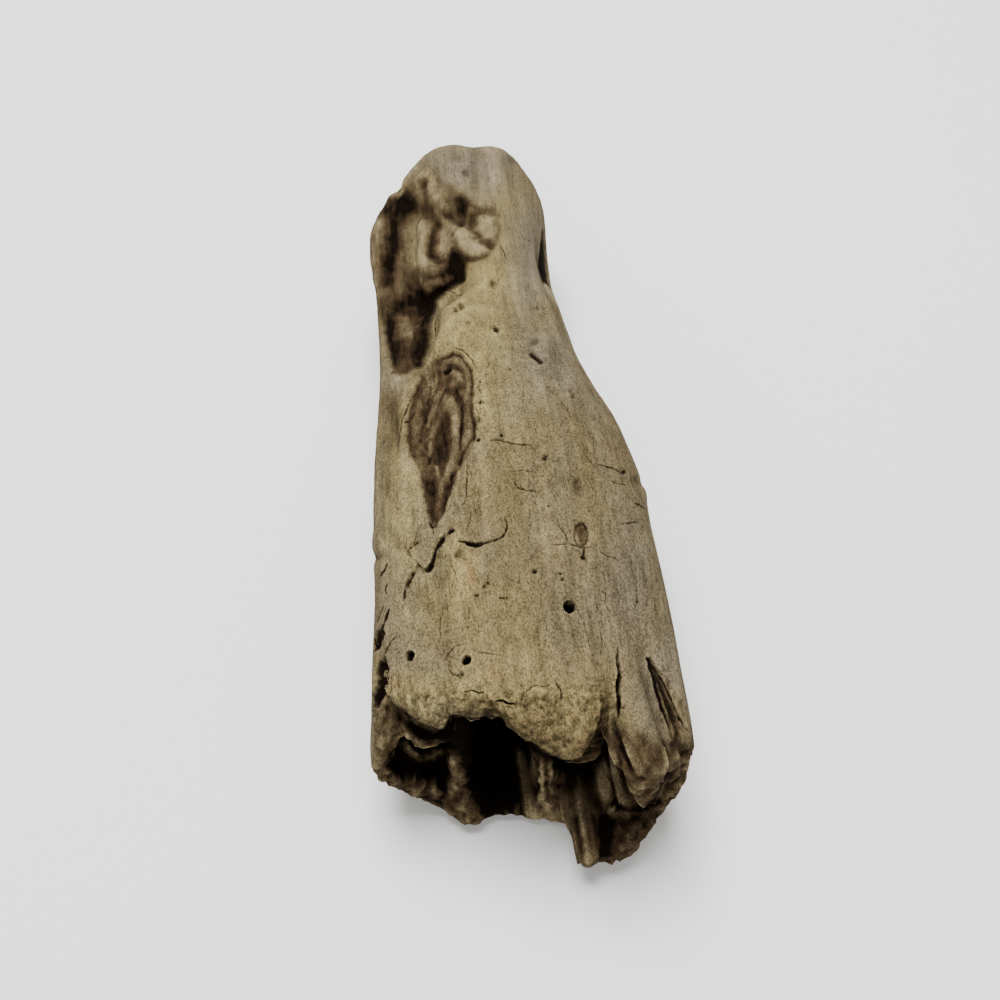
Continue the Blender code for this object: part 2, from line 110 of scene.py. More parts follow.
CRACKS = rows(
    Crack,
    # Over the scar and in the middle
    (0.26, 0.3, 480, 381, 479, 388, 480, 395),
    (0.34, 0.5, 487, 439.5, 500, 439, 510, 442.5, 522, 443.5, 530, 445, 536, 449),
    (0.24, 0.3, 507, 469.5, 520, 470, 535, 471),
    (0.34, 0.5, 514, 479, 517.5, 487, 527, 489, 535, 489, 539, 495),
    (0.34, 0.5, 468, 458, 466, 472, 466, 496, 472, 495),
    (0.22, 0.3, 466, 496, 461, 506),
    (0.26, 0.35, 472, 507, 469, 518, 467, 531),
    # The edge of the flake
    (0.55, 0.8, 503.8, 515, 507, 522.5, 505, 530, 501, 536, 492.5, 539.5, 480, 542),
    (1, 1.1, 484, 540.5, 476, 543.5, 470, 543, 464, 540.5),
    (0.5, 0.7, 470, 541, 464, 540, 457, 539.5),
    (0.62, 0.8, 444, 531, 441, 538, 437, 546, 433, 556, 429, 564, 425, 569),
    (0.9, 0.9, 431, 560, 428, 567, 423, 569),
    (0.6, 0.6, 446, 531, 451, 528.5, 456, 528),
    (0.45, 0.6, 418, 562, 414, 568, 409, 578, 405, 588, 403, 600),
    (0.3, 0.4, 425, 568, 421, 565, 418, 562, 416, 564),
    (0.22, 0.3, 442, 533, 436, 540, 433, 550, 430, 558),
    # Below the scar
    (0.5, 0.5, 428, 521, 432, 526, 438, 524),
    (0.26, 0.3, 432.5, 526, 433, 534),
    (0.24, 0.3, 425, 521, 417, 530, 415, 540, 410, 545),
    (0.5, 0.3, 420, 540, 414, 544, 408, 549),
    # Around the oval knot
    (0.3, 0.5, 554, 521, 560, 527, 565, 532.5, 566, 542, 550, 544),
    (0.36, 0.6, 566, 539, 572, 543, 578, 546, 592, 547),
    (0.36, 0.6, 583, 547, 583, 556),
    (0.24, 0.3, 599, 550, 609, 556, 621, 561),
    # On the right shoulder
    (0.4, 0.5, 595, 462.5, 606, 466, 616, 469, 623, 475),
    (0.3, 0.4, 610, 480, 626, 484),
    (0.4, 0.5, 619, 522.5, 638, 520.5),
    (0.28, 0.3, 587.5, 430, 590.5, 437),
    # Around the bored holes
    (0.24, 0.35, 441.5, 605, 440, 622, 441.5, 640),
    (0.28, 0.35, 444.5, 660, 449, 651, 454.5, 645, 465, 642.5),
    (0.26, 0.35, 474.5, 650, 486, 651, 498, 653),
    # On and beside the lip
    (0.85, 2.4, 616.5, 655, 619, 670, 617.5, 682.5, 618.5, 694, 618, 704, 617, 716),
    (0.3, 0.6, 617, 645, 616.5, 652, 617.5, 660),
    (0.55, 0.8, 495, 699, 502, 698, 507, 701, 515, 701),
    (0.3, 0.5, 462, 690, 470, 688, 478, 691, 486, 690),
    (0.24, 0.4, 520, 704, 523, 690, 532, 684, 548, 684, 556, 692),
    (0.3, 0.5, 553, 676, 560, 690, 561, 702),
    # Down the left flank
    (0.6, 0.9, 390, 606, 386, 616, 382, 627, 376, 641, 371, 652),
    (1.9, 1.6, 382, 627, 378, 638, 374, 649),
    (0.45, 0.6, 396, 636, 389, 644, 384, 652),
    (2.6, 2.2, 384, 656, 382, 668, 381, 682, 378, 696, 375, 708),
    # Along the torn strip
    (0.8, 1.2, 646, 656, 653, 676, 657, 692, 662, 708, 668, 728),
    (0.6, 1, 649, 657, 660, 674, 670, 692, 680, 714, 690, 730),
    (0.7, 1, 645, 655, 649, 660, 652, 668),
    # The rest, most of them fine as a hair
    (0.34, 0.4, 404, 424, 411, 416, 418, 409),
    (0.22, 0.3, 392, 672, 391, 690, 388, 702),
    (0.5, 0.6, 388, 562, 383, 571, 381, 576),
    (0.5, 0.6, 387, 582, 385, 588, 386, 594),
    (0.3, 0.4, 384, 604, 380, 612, 377, 622),
    (0.4, 0.5, 634, 501, 639, 505, 645, 509),
    (0.3, 0.4, 447, 667, 452, 672, 458, 673, 461, 679),
    (0.22, 0.3, 574, 600, 582, 620, 588, 640, 590, 656),
    (0.2, 0.25, 603, 560, 605, 585, 606, 602, 612, 612, 624, 627),
    (0.2, 0.25, 634, 560, 636, 590, 634, 612),
    (0.3, 0.35, 452, 349, 462, 350, 470, 357, 476, 370),
    (0.26, 0.3, 441, 300, 437, 312, 435, 328, 434, 344),
    (0.26, 0.3, 475, 405, 479, 415, 476, 425, 480, 432),
    (0.26, 0.3, 445, 286, 458, 296, 466, 290),
    (0.3, 0.35, 500, 246, 506, 256, 509, 262),
    (0.3, 0.4, 412, 395, 402, 425, 396, 450),
    (0.24, 0.3, 560, 398, 567, 410, 572, 420),
    (0.22, 0.3, 585, 455, 592, 463, 600, 470),
    (0.2, 0.25, 448, 560, 455, 572, 458, 590),
    (0.2, 0.25, 470, 600, 468, 618, 470, 632),
    (0.2, 0.25, 528, 500, 530, 516, 529, 528),
    (0.2, 0.25, 545, 608, 546, 630, 543, 650),
    (0.2, 0.25, 600, 620, 602, 640, 601, 655),
)
# Cracks pinch out towards their ends over this share of their length
CRACK_TAPER = 0.22


class Swell:
    """A low swelling or dip: half its width and its rise in millimetres, and its pixels."""

    def __init__(self, width, rise, *pixels):
        self.width, self.rise, self.line = width, rise, pairs(*pixels)


SWELLS = rows(
    Swell,
    (2, -1.6, 390, 180, 400, 192, 406, 202),
    (3.6, 0.7, 368, 228, 367, 250, 370, 272),
    (0.9, -0.4, 634, 480, 646, 483),
    (1.1, 0.25, 636, 488, 644, 494),
    (1, -0.8, 372, 557, 384, 553),
    (1.8, 0.4, 372, 540, 376, 546),
    (1.6, 0.5, 410, 378, 404, 405, 400, 430),
    (2.2, -0.5, 392, 398, 390, 425, 386, 450),
    (1.8, 0.4, 434, 345, 420, 362, 410, 385),
    (2, 0.5, 456, 344, 472, 350, 481, 372, 482, 400),
    (3, -0.5, 500, 262, 508, 300, 512, 330),
    (2.6, 0.4, 543, 336, 546, 350, 540, 358),
    (2, 0.4, 584, 520, 590, 534, 584, 548),
    (2.4, -0.4, 600, 570, 606, 640, 606, 690),
    (2.2, 0.4, 622, 655, 626, 690, 636, 720),
    (1.2, 0.4, 577, 598, 585, 622, 588, 650),
    (1.6, -0.4, 594, 610, 598, 640, 598, 660),
    (2, -0.5, 424, 590, 428, 615, 424, 640),
    (2.2, 0.4, 404, 560, 398, 600, 396, 640),
    (2, 0.5, 450, 545, 456, 570, 462, 600),
    (3, -0.5, 446, 690, 452, 700, 470, 700),
    (3.2, 0.6, 560, 690, 575, 710, 590, 725),
)

# Where a thin layer of the surface has flaked off: the lower side is to the right of the line
FLAKE_EDGE = pairs(
    458, 528, 447, 530, 441, 537.5, 437, 551, 428, 567.5, 422, 567.5, 418, 562, 409.5, 575,
    404.5, 595, 400, 612
)
FLAKE_DROP = 0.9
FLAKE_REACH = 7.0
FLAKE_STEP = 0.4
FLAKE_TAPER = 0.15


class Pit:
    """A small hollow: its pixel, radius and depth in millimetres, and how dark it is."""

    def __init__(self, x, y, radius, depth, dark):
        self.x, self.y, self.radius, self.depth, self.dark = x, y, radius, depth, dark


PITS = rows(
    Pit,
    (577, 485, 1.5, 0.35, 0.45),
    (576, 480, 0.7, 0.4, 0.55),
    (545, 457, 0.7, 0.6, 0.75),
    (623, 471, 0.6, 0.5, 0.9),
    (534, 569.5, 0.55, 0.8, 1),
    (559.5, 573, 0.35, 0.5, 1),
    (561.5, 578, 0.35, 0.5, 0.9),
    (582.5, 556, 0.5, 0.7, 1),
    (500, 596, 0.35, 0.4, 0.9),
    (503, 596, 0.35, 0.4, 0.9),
    (506, 596, 0.3, 0.4, 0.8),
    (484, 585, 0.5, 0.4, 0.7),
    (488, 581, 0.45, 0.4, 0.7),
    (477, 594, 0.4, 0.4, 0.8),
    (459, 550, 1.3, 0.5, 0.45),
    (455, 553, 0.6, 0.5, 0.6),
    (450, 528, 0.9, 0.5, 0.6),
    (493, 281, 1.2, 0.8, 0.7),
    (460, 305, 1.1, 0.7, 0.6),
    (455, 309, 0.8, 0.6, 0.6),
    (495, 328, 0.9, 0.8, 0.8),
    (468, 322, 0.7, 0.4, 0.4),
    (537, 308, 0.7, 0.4, 0.4),
    (501, 434, 0.45, 0.5, 0.9),
    (477.5, 439, 0.6, 0.5, 1),
    (480, 403, 0.5, 0.4, 0.8),
    (484, 403, 0.4, 0.4, 0.7),
    (478, 418, 0.8, 0.4, 0.6),
    (474, 421, 0.6, 0.4, 0.6),
    (479, 382, 0.35, 0.3, 0.8),
    (534, 343, 1, 0.8, 0.5),
    (510, 369, 0.5, 0.3, 0.6),
    (573, 395, 0.7, 0.4, 0.5),
    (570, 390, 0.6, 0.4, 0.4),
    (465, 172, 1.3, 0.6, 0.5),
    (421, 181, 2, 0.8, 0.45),
    (514, 158, 2.4, 0.5, 0.3),
    (455, 158, 2.2, 0.4, 0.3),
    (448, 630, 0.3, 0.3, 0.5),
    (461, 672, 0.6, 0.5, 0.7),
    (411, 566, 0.3, 0.3, 0.5),
    (552, 618, 0.3, 0.3, 0.6),
    (604, 590, 0.3, 0.3, 0.7),
    (636, 600, 0.35, 0.3, 0.7),
    (516, 545, 0.3, 0.3, 0.6),
    (548, 505, 0.3, 0.3, 0.7),
    (613, 509, 0.3, 0.3, 0.6),
    (398, 508, 0.35, 0.3, 0.6),
    (413, 509, 0.3, 0.3, 0.6),
)

# The half-moon knot on the upper right: a low boss with a dark line under it
HALF_MOON = (541, 346)
HALF_MOON_HALF = (9.5, 11)
HALF_MOON_RISE = 1.3
HALF_MOON_LINE_DEPTH = 0.8
HALF_MOON_LINE_WIDTH = 0.6
HALF_MOON_LINE = ((528, 352), (533, 357), (538, 361.5), (544, 363))

# The oval knot: its middle and half axes in pixels, and the depths of its ring and its plug
OVAL_KNOT = (580.5, 533.5)
OVAL_HALF = (6.2, 11.8)
OVAL_RING_DEPTH = 0.6
OVAL_PLUG_DEPTH = 0.3


class Mark:
    """A soft stroke: half its width and its rise in millimetres, its tone, and its pixels.

    The tone goes from 0, the darkest rot, to 1, the palest worn wood. Below 0 the place stays dark
    even where it stands out, and above 1 it stays pale even in a dip. In the break, tones below 0
    paint shadow and tones above 1 paint light.
    """

    def __init__(self, width, rise, tone, *pixels):
        self.width, self.rise, self.tone, self.line = width, rise, tone, pairs(*pixels)


# The eye-shaped branch scar: its outline and the strokes in it, from the lowest up
SCAR_OUTLINE = pairs(
    443, 354, 452.5, 351, 463, 355, 471, 368, 474, 380, 473, 394, 473, 412, 477, 427, 475, 438,
    467, 456, 458, 470, 452, 486, 447, 502, 442, 516, 436, 526, 430, 524, 426, 508, 423, 488,
    418, 466, 410, 455, 406, 440, 407, 418, 412, 396, 421, 374, 432, 360
)
SCAR_DROP = 0.35
SCAR_TONE = 0.40
SCAR_MARKS = rows(
    Mark,
    (1.5, 0, 0.52, 419, 458, 425, 470, 431, 478),
    (1.6, 0, 0.32, 414, 395, 411, 415, 411, 440, 416, 452),
    (0.45, -0.25, 0.22, 422.5, 377.5, 415, 392.5, 410, 410, 407.5, 428, 409, 443, 414, 454),
    (0.35, -0.25, 0.14, 429, 405, 425, 417.5, 421.5, 427.5, 420.6, 439),
    (0.35, -0.2, 0.16, 431, 386, 430, 395, 427, 403),
    (0.35, -0.25, 0.16, 445, 388, 437.5, 402.5, 431, 417.5, 428, 428),
    (0.35, -0.2, 0.2, 439, 380, 432, 398, 425, 420),
    (0.35, -0.2, 0.2, 424, 445, 430, 452, 428, 462),
    (0.5, 0.15, 0.62, 449, 400, 442.5, 410, 437.5, 420, 432.5, 430, 426, 439),
    (0.4, 0.1, 0.55, 440, 392, 434, 408, 427, 425),
    (0.35, 0.1, 0.55, 436, 372, 437, 381, 433, 392),
    (0.45, 0.1, 0.5, 419, 400, 415, 420, 416, 438),
    (2.4, -0.45, 0.08, 446, 424, 446, 436, 443, 452),
    (1.5, -0.35, 0.1, 438, 445, 441, 460, 444, 472),
    (0.8, -0.3, 0.1, 447, 413, 448, 422),
    (0.4, 0.1, 0.66, 430, 441, 429, 454),
    (0.45, 0.1, 0.66, 435, 465, 438, 476, 442, 488),
    (0.35, 0.1, 0.6, 434, 482, 438, 490, 442, 498),
    (1.3, 0.35, 0.72, 450, 399, 453, 413, 456, 428, 456, 443, 454.5, 452.5, 450, 465, 446, 478,
     443, 489),
    (0.4, -0.35, 0.06, 455, 388, 460, 399, 461.5, 410, 460.5, 428, 460, 440, 460, 452, 457, 465,
     450, 478, 446, 490, 443, 500),
    (1.2, 0.15, 0.58, 470, 424, 467, 439, 462, 453, 457, 465),
    (0.4, -0.25, 0.26, 470, 393, 469, 410, 474, 425, 474, 434, 468, 443, 462.5, 453, 458, 462),
    (1.5, -0.25, 0.2, 430, 483, 433, 499, 435, 515),
    (1, -0.3, 0.15, 449, 482, 445, 497, 441, 512),
    (0.7, 0, 0.35, 437, 503, 438, 514),
    (0.8, -0.3, 0.14, 449, 365, 456, 364.5, 462, 370, 464, 378, 462, 386),
    (0.9, 0.25, 0.62, 450, 358.5, 460, 359.5, 467, 370, 469, 384, 467.5, 397),
    (0.4, -0.3, 0.26, 443, 357, 452, 353, 462.5, 356, 470, 368, 472.5, 380, 471, 392),
    (0.9, 0.3, 0.66, 452.5, 371, 459, 374, 461, 381),
    (0.7, -0.2, 0.18, 460, 383, 455.5, 388, 456, 396, 460, 403),
    (0.55, -1.2, 0, 446, 370, 448, 369),
)

# The decayed burl at the upper left
BURL_OUTLINE = pairs(
    366, 250, 370, 214, 384, 196, 402, 190, 412, 176, 426, 166, 442, 182, 452, 186, 462, 192,
    474, 204, 496, 208, 500, 226, 496, 244, 488, 258, 468, 263, 463, 280, 448, 292, 438, 300,
    432, 320, 430, 346, 422, 366, 408, 374, 392, 372, 384, 340, 376, 300
)
BURL_DROP = 0.5
BURL_DEPTH = 0.62
BURL_TONE = 0.30
# Its dark strokes stand for dark rot and for painted shade in the grooves
BURL_MARKS = rows(
    Mark,
    (7, 0, 1.05, 420, 172, 440, 172, 458, 180, 474, 192),
    (6, 0, 0.9, 484, 208, 490, 222, 490, 236),
    (5, 0, 0.62, 446, 200, 464, 210, 474, 230),
    (5, 0, 0.56, 416, 226, 414, 262),
    (4, 0, 0.54, 438, 176, 450, 188),
    (3, 0, 0.52, 400, 262, 404, 292),
    (2.6, 0.4, 0.82, 379, 224, 377, 250, 379, 290),
    (2.4, 0, 0.3, 376, 206, 386, 200, 396, 196),
    (1.6, 0.2, 0.62, 381, 236, 380, 248),
    (1.8, 0.9, 0.9, 428, 170, 433, 188, 437, 212),
    (1.7, 0.8, 0.66, 415, 180, 417, 192, 419, 204),
    (0.8, -0.7, 0.16, 423, 182, 425, 196, 428, 208),
    # Painted shadow under the burl's upper rim
    (3.2, -0.6, 0.14, 396, 206, 412, 212, 426, 214),
    (2.3, -1.3, -0.04, 404, 196, 397, 212, 396, 232, 391, 257, 388, 280),
    (3.6, 1.2, 0.9, 418, 226, 419, 242, 417, 258),
    (0.8, -1.5, 0.1, 438, 222, 436, 236, 432, 254),
    (1.6, 1.1, 1.02, 448, 220, 445, 236, 442, 250),
    (2.4, 1, 0.52, 447, 193, 455, 188, 463, 195, 467, 203),
    (1.3, -1.8, 0.1, 459, 201, 460, 206),
    (1.1, -1, 0.22, 460, 211, 462, 216),
    (1.1, -1.2, 0.12, 446, 214, 454, 220, 462, 222),
    (0.8, -1.8, 0.08, 472, 215, 472.5, 221, 472, 227),
    (3, 0, 0.62, 462, 236, 480, 240, 486, 228),
    (2.2, 0.9, 1.12, 483, 221, 484, 230, 486, 238),
    (0.9, 0.5, 0.5, 470, 211, 482, 209, 495, 212),
    (0.4, -0.5, 0.34, 473, 206, 484, 205, 492, 208),
    (0.4, -0.5, 0.34, 475, 214, 484, 213, 490, 214),
    (3.2, 1.1, 1.14, 460, 240, 468, 245, 477, 249),
    (0.7, -0.9, 0.16, 453, 234, 456, 246, 461, 256),
    (0.7, -0.9, 0.1, 462, 259, 474, 259.5, 486, 256),
    (0.9, -1.4, 0.08, 489, 243, 491, 245),
    (0.6, -0.6, 0.18, 476, 232, 482, 240, 489, 243),
    (1.3, -2, -0.4, 453, 256, 456, 262, 459, 272, 461, 281),
    (1.5, 0.9, 0.62, 426, 270, 436, 266),
    (1.4, 0.8, 0.5, 417, 273, 420, 281),
    (1.3, 0.7, 0.46, 432, 281, 440, 285),
    (1.1, 1, 0.8, 447, 285, 453, 279),
    (1, 0.5, 0.4, 424, 287, 430, 292),
    (0.8, -1, 0.1, 425, 276, 434, 276, 444, 272),
    (0.7, -0.9, 0.12, 412, 286, 420, 293, 426, 296),
    (2, 0.7, 0.48, 399, 268, 401, 283, 404, 297),
    (0.6, 0.2, 0.62, 397, 276, 399, 290),
    (3.6, -1.5, 0, 424, 306, 423, 325, 419, 346),
    (3.2, -1.2, 0.02, 408, 304, 400, 312),
    (1.7, -1.8, -0.35, 462, 283, 448, 290, 437, 299, 429, 309),
    (0.8, 0.8, 0.28, 413, 305, 418, 325, 421, 341),
    (2.5, 1.4, 0.7, 402, 320, 406, 328),
    (1.7, -1.4, 0.08, 390, 316, 391, 340, 394, 362),
    (1.6, 0.6, 0.3, 405, 346, 409, 356),
    (1.5, 0.4, 0.24, 398, 352, 402, 364),
    (1.2, -0.8, 0.05, 414, 350, 417, 362),
)

# The dark slot on the right flank of the far end: its middle and half its length along the grain,
# in millimetres, and its middle and half its width around the log, in degrees from the top
SLOT_MIDDLE = 63.0
SLOT_HALF = 13.0
SLOT_TURN = 74.0
SLOT_SPAN = 8.5
SLOT_DROP = 1.4
SLOT_TONE = 0.26

# The torn strip at the lower right: down and across, at its left and its right edge
STRIP_LEFT = ((654, 646), (690, 657), (720, 665), (752, 671), (776, 676))
STRIP_RIGHT = ((654, 649), (676, 667), (706, 684), (736, 698), (776, 702))
STRIP_DROP = 0.7
STRIP_TONE = 0.68
STRIP_MARKS = rows(
    Mark,
    (0.5, 0.3, 0.5, 651, 668, 660, 692, 668, 716, 674, 738),
    (0.4, 0.3, 0.45, 655, 668, 667, 692, 677, 716, 683, 734),
    (0.5, -0.6, 0.05, 650, 662, 662, 688, 672, 712, 679, 734),
    (1.5, -0.7, 0.12, 678, 742, 685, 750, 690, 760),
    (0.8, 0.3, 0.4, 674, 744, 676, 762),
    (0.8, 0.5, 0.36, 692, 738, 697, 752),
)

# The break lies before this place along the grain, in millimetres
BREAK_START = -60

# The right part of the break: its first pixels across and down, and the slanting edge on top of it,
# by the pixel where it starts, its slope and how soft it is
RIGHT_BREAK = (612, 690)
SLANT_START = (618, 712)
SLANT_SLOPE = 0.45
SLANT_SOFT = 18.0

# The lower edge of the lip, down to which the wood is whole
LIP_EDGE = pairs(
    384, 698, 404, 713, 421, 723, 436, 729, 444, 720, 456, 717, 498, 717, 510, 726, 533, 744,
    556, 757, 572, 764, 588, 762, 598, 748, 604, 730, 606, 714
)

# The torn wood of the break, with painted shadow under the lip and in the deep hollow, and painted
# light on its shaded right wall
TORN_TONE = 0.20
TORN_MARKS = rows(
    Mark,
    (3.4, 0, 0.5, 386, 722, 390, 736, 384, 752),
    (1.6, 0.2, 0.5, 378, 756, 383, 768),
    (2.6, 0, 0.22, 402, 778, 420, 788, 436, 798),
    (0.6, -0.4, 0.08, 402, 772, 404, 786, 408, 796),
    (0.6, -0.4, 0.08, 418, 776, 422, 790, 426, 802),
    (2.2, -0.3, 0.04, 394, 756, 410, 763, 432, 766),
    (1.6, 0.2, 0.4, 410, 742, 424, 748, 444, 744),
    (0.6, 0.8, 0.85, 404, 740, 410, 750, 422, 759, 434, 753, 448, 748),
    (0.5, 0.6, 0.75, 408, 732, 420, 738, 440, 738, 456, 734),
    # Painted shadow over dark wood, down the deep hollow under the lip
    (4.4, 0, -0.4, 500, 745, 502, 780, 500, 816),
    (3, 0, -0.4, 486, 740, 488, 770, 492, 800),
    (1.4, 0.3, 0.2, 450, 757, 452, 775, 455, 790),
    (1.3, 0.2, 0.34, 449, 795, 456, 808, 464, 820),
    (2, 0.2, 0.36, 466, 798, 472, 812),
    (0.5, -0.4, 0.1, 456, 790, 459, 802, 464, 814),
    (1.8, -0.3, 0.03, 465, 754, 470, 772, 475, 788),
    (3.2, 0.2, 0.8, 540, 772, 548, 796, 554, 812),
    (0.5, -0.4, 0.1, 543, 752, 546, 775, 546, 800),
    (1.2, 0.3, 0.9, 518, 742, 523, 768, 527, 798, 531, 812),
    (0.6, -0.4, 0.06, 533, 740, 537, 762, 536, 790),
    # Painted shadow under the lip's right end
    (2.4, 0, -0.25, 545, 746, 572, 760, 592, 768),
    (2.4, -0.5, -0.4, 577, 785, 590, 788, 598, 796),
    (5, 0, 0.44, 580, 800, 586, 830, 590, 856),
    (0.4, -0.3, 0.2, 574, 816, 577, 835, 581, 850),
    (0.4, -0.3, 0.16, 592, 812, 596, 832, 597, 848),
    (0.5, -0.3, 0.22, 580, 838, 587, 832, 592, 838),
    (1.6, 0, 0.2, 578, 858, 590, 864, 600, 860),
    (1.1, -1, -0.4, 602, 796, 605, 825, 606, 862),
    # Painted light: two pale fibres brighten the shaded right wall of the break
    (1.8, 0.4, 1.6, 601, 752, 604, 780, 609, 806),
    (1.8, 0.4, 1.5, 611, 756, 615, 782, 621, 808),
    (0.4, -0.4, 0.1, 606, 750, 610, 780, 616, 808),
    (4.5, 0.3, 0.3, 628, 752, 636, 775, 640, 800),
    (3, 0, 0.26, 650, 752, 662, 770),
    (0.5, -0.5, 0.05, 616, 726, 622, 745, 630, 766),
    (0.4, -0.4, 0.1, 634, 742, 640, 760, 650, 772),
    (0.5, 0.3, 0.5, 624, 740, 632, 758, 640, 780),
    (0.5, -0.5, 0.1, 619, 744, 621, 768, 624, 794),
    (0.4, -0.4, 0.14, 632, 772, 638, 778, 646, 774),
    (0.5, 0.2, 0.62, 612, 812, 628, 815, 644, 808),
    (3.2, 0, 0.1, 618, 828, 630, 848, 616, 858),
    (1.1, 0.5, 0.6, 618, 828, 628, 834),
    (1.3, 0.5, 0.6, 640, 822, 650, 812),
    (1, 0.4, 0.52, 626, 848, 636, 842),
    (1.2, -0.5, 0.03, 612, 820, 614, 838, 612, 856),
    (1, 0.2, 0.36, 660, 782, 668, 790, 660, 800),
    # Painted shadow under the lip, over the ledge and the pillars' tops
    (2.6, 0, -0.6, 424, 726, 440, 728, 458, 724, 478, 728, 505, 730, 524, 736),
    (2.2, 0, -0.6, 452, 738, 468, 740, 480, 748),
    (1.5, 0, -0.4, 468, 752, 474, 770, 478, 788),
    (1.5, 0, -0.5, 530, 738, 560, 756, 582, 768),
    (2.2, -0.4, 0.14, 586, 762, 598, 750, 606, 732),
    (1, 0.4, 0.8, 404, 738, 410, 748, 420, 757, 431, 753, 442, 747),
    (0.4, -0.4, 0.1, 408, 740, 416, 748, 430, 746),
    (2.2, 0, -0.2, 394, 758, 405, 764, 430, 770),
    (4, 0, 0.05, 618, 836, 630, 832, 646, 820),
    (0.7, 0.3, 0.3, 620, 846, 630, 842, 642, 830),
    (0.7, -0.5, -0.2, 610, 800, 622, 806, 640, 808, 656, 798),
    (0.6, -0.4, 0, 628, 818, 640, 812, 652, 806),
    (0.6, 0.2, 0.52, 452, 756, 456, 780, 462, 806, 468, 818),
)

# Bored holes: place of the mouth, the way out, radius and depth, all in millimetres
BORES = {
    "round_bore": ((9.78, -64.69, 50.9), (0.1977, 0, 0.9803), 1.62, 9.0),
    "oval_bore": ((-25.28, -70.19, 46.1), (-0.6401, 0, 0.7683), 1.42, 7.0),
    "half_bore": ((-13.4, -74.69, 50.16), (-0.2672, 0, 0.9636), 1.32, 6.0),
    "flank_bore_a": ((35.85, -39.7, 21.21), (0.9903, 0, -0.1392), 1.52, 8.0),
    "flank_bore_b": ((-26.75, 58.3, 13.26), (-0.9272, 0, -0.3746), 1.42, 8.0),
    "belly_bore": ((-17.65, -7.7, 4.05), (-0.5, 0, -0.866), 1.62, 8.0),
}
BORE_SIDES = 20

# The mesh is made finer this close to a fine mark and to a bored hole, in millimetres
FINE_REACH = 0.35
BORE_REACH = 1.2

# Rays that tell how open to the sky a point is, for the painted shade in the hollows, and how far
# they go in millimetres
SKY_RAYS = 16
SKY_REACH = 45.0

# The finest grain, which the material adds, and the dry wood's faint gloss
BUMP_STRENGTH = 0.6
BUMP_DEPTH = 0.45
WOOD_SPECULAR = 0.02

# Soft stains, and on the lip some painted shade: pixel, half sizes in pixels and strength
WARM_STAINS = (
    (474, 335, 32, 70, 1.0),
    (482, 275, 24, 28, 0.9),
    (462, 572, 15, 32, 1.0),
    (450, 545, 16, 12, 0.9),
    (402, 520, 20, 60, 0.8),
    (430, 600, 26, 40, 0.5),
    (440, 690, 60, 16, 0.9),
    (580, 715, 34, 30, 0.6),
    (510, 690, 60, 14, 0.5),
    (484, 412, 14, 14, 0.8),
)
RUST_STAINS = (
    (471, 572, 4, 26, 0.9),
    (398, 678, 16, 10, 0.5),
    (490, 672, 14, 7, 0.5),
    (486, 700, 10, 8, 0.3),
)
ASH_STAINS = (
    (530, 260, 24, 70, 0.9),
    (550, 350, 40, 40, 0.7),
    (470, 165, 60, 34, 0.9),
    (630, 580, 34, 80, 0.8),
    (655, 680, 26, 60, 0.7),
    (395, 380, 14, 16, 0.6),
)
# Dark stains, with painted shade on the lip's lower part
DARK_STAINS_AND_SHADE = (
    (550, 590, 10, 40, 0.35),
    (568, 600, 6, 40, 0.30),
    (560, 640, 18, 30, 0.20),
    (440, 650, 14, 16, 0.30),
    (427, 608, 10, 18, 0.35),
    (577, 487, 7, 10, 0.55),
    (543, 425, 26, 20, 0.22),
    (575, 410, 22, 26, 0.34),
    (605, 470, 22, 30, 0.30),
    (645, 585, 6, 22, 0.35),
    (389, 406, 11, 18, 1.0),
    (398, 424, 6, 22, 0.9),
    (385, 450, 8, 30, 0.45),
    (388, 482, 8, 20, 0.45),
    (620, 470, 8, 8, 0.4),
    (600, 690, 10, 24, 0.25),
    (625, 610, 26, 90, 0.32),
    (600, 440, 40, 70, 0.26),
    # These seven rows: painted shade on the lip's lower part
    (578, 742, 34, 18, 0.70),
    (550, 722, 50, 24, 0.70),
    (430, 705, 30, 12, 0.25),
    (540, 736, 20, 10, 0.55),
    (432, 722, 16, 8, 0.60),
    (400, 706, 12, 10, 0.40),
    (560, 705, 26, 14, 0.25),
    (512, 158, 20, 14, 0.40),
    (455, 156, 12, 5, 0.45),
    (430, 172, 8, 6, 0.35),
    (489, 584, 8, 8, 0.4),
    (459, 552, 8, 8, 0.45),
    (415, 543, 8, 6, 0.5),
    (471, 500, 5, 24, 0.25),
)
PALE_STAINS = (
    (584, 640, 6, 30, 0.6),
    (579, 598, 4, 16, 0.6),
    (590, 660, 6, 14, 0.4),
    (520, 665, 40, 12, 0.35),
    (404, 388, 6, 24, 1.0),
    (402, 440, 6, 34, 0.6),
    (424, 618, 6, 14, 0.4),
    (500, 540, 40, 10, 0.25),
    (455, 560, 60, 60, 0.30),
    (430, 640, 50, 50, 0.25),
    (500, 440, 50, 40, 0.22),
    (490, 320, 26, 50, 0.25),
    (397, 600, 10, 30, 0.3),
)


def length_property(name, description, millimetres):
    return FloatProperty(
        name=name, description=description, default=millimetres * MM, unit="LENGTH"
    )


def colour_property(name, description, default):
    return FloatVectorProperty(
        name=name, description=description, default=default, subtype="COLOR", min=0, max=1
    )


class DriftwoodForm(PropertyGroup):
    detail: length_property("Detail", "Size of the mesh's faces", 1.23)
    softening: IntProperty(
        name="Softening", description="How often the facets are smoothed", default=6, min=0
    )
    grain: length_property("Grain", "Height of the grain's ridges", 0.17)
    fibres: length_property("Fibres", "Height of the torn fibres in the break", 0.85)
    crumbs: length_property("Crumbs", "Height of the crumbs along the broken lip", 0.40)
    knuckles: length_property("Knuckles", "Height of the small lumps in the rotten burl", 0.45)


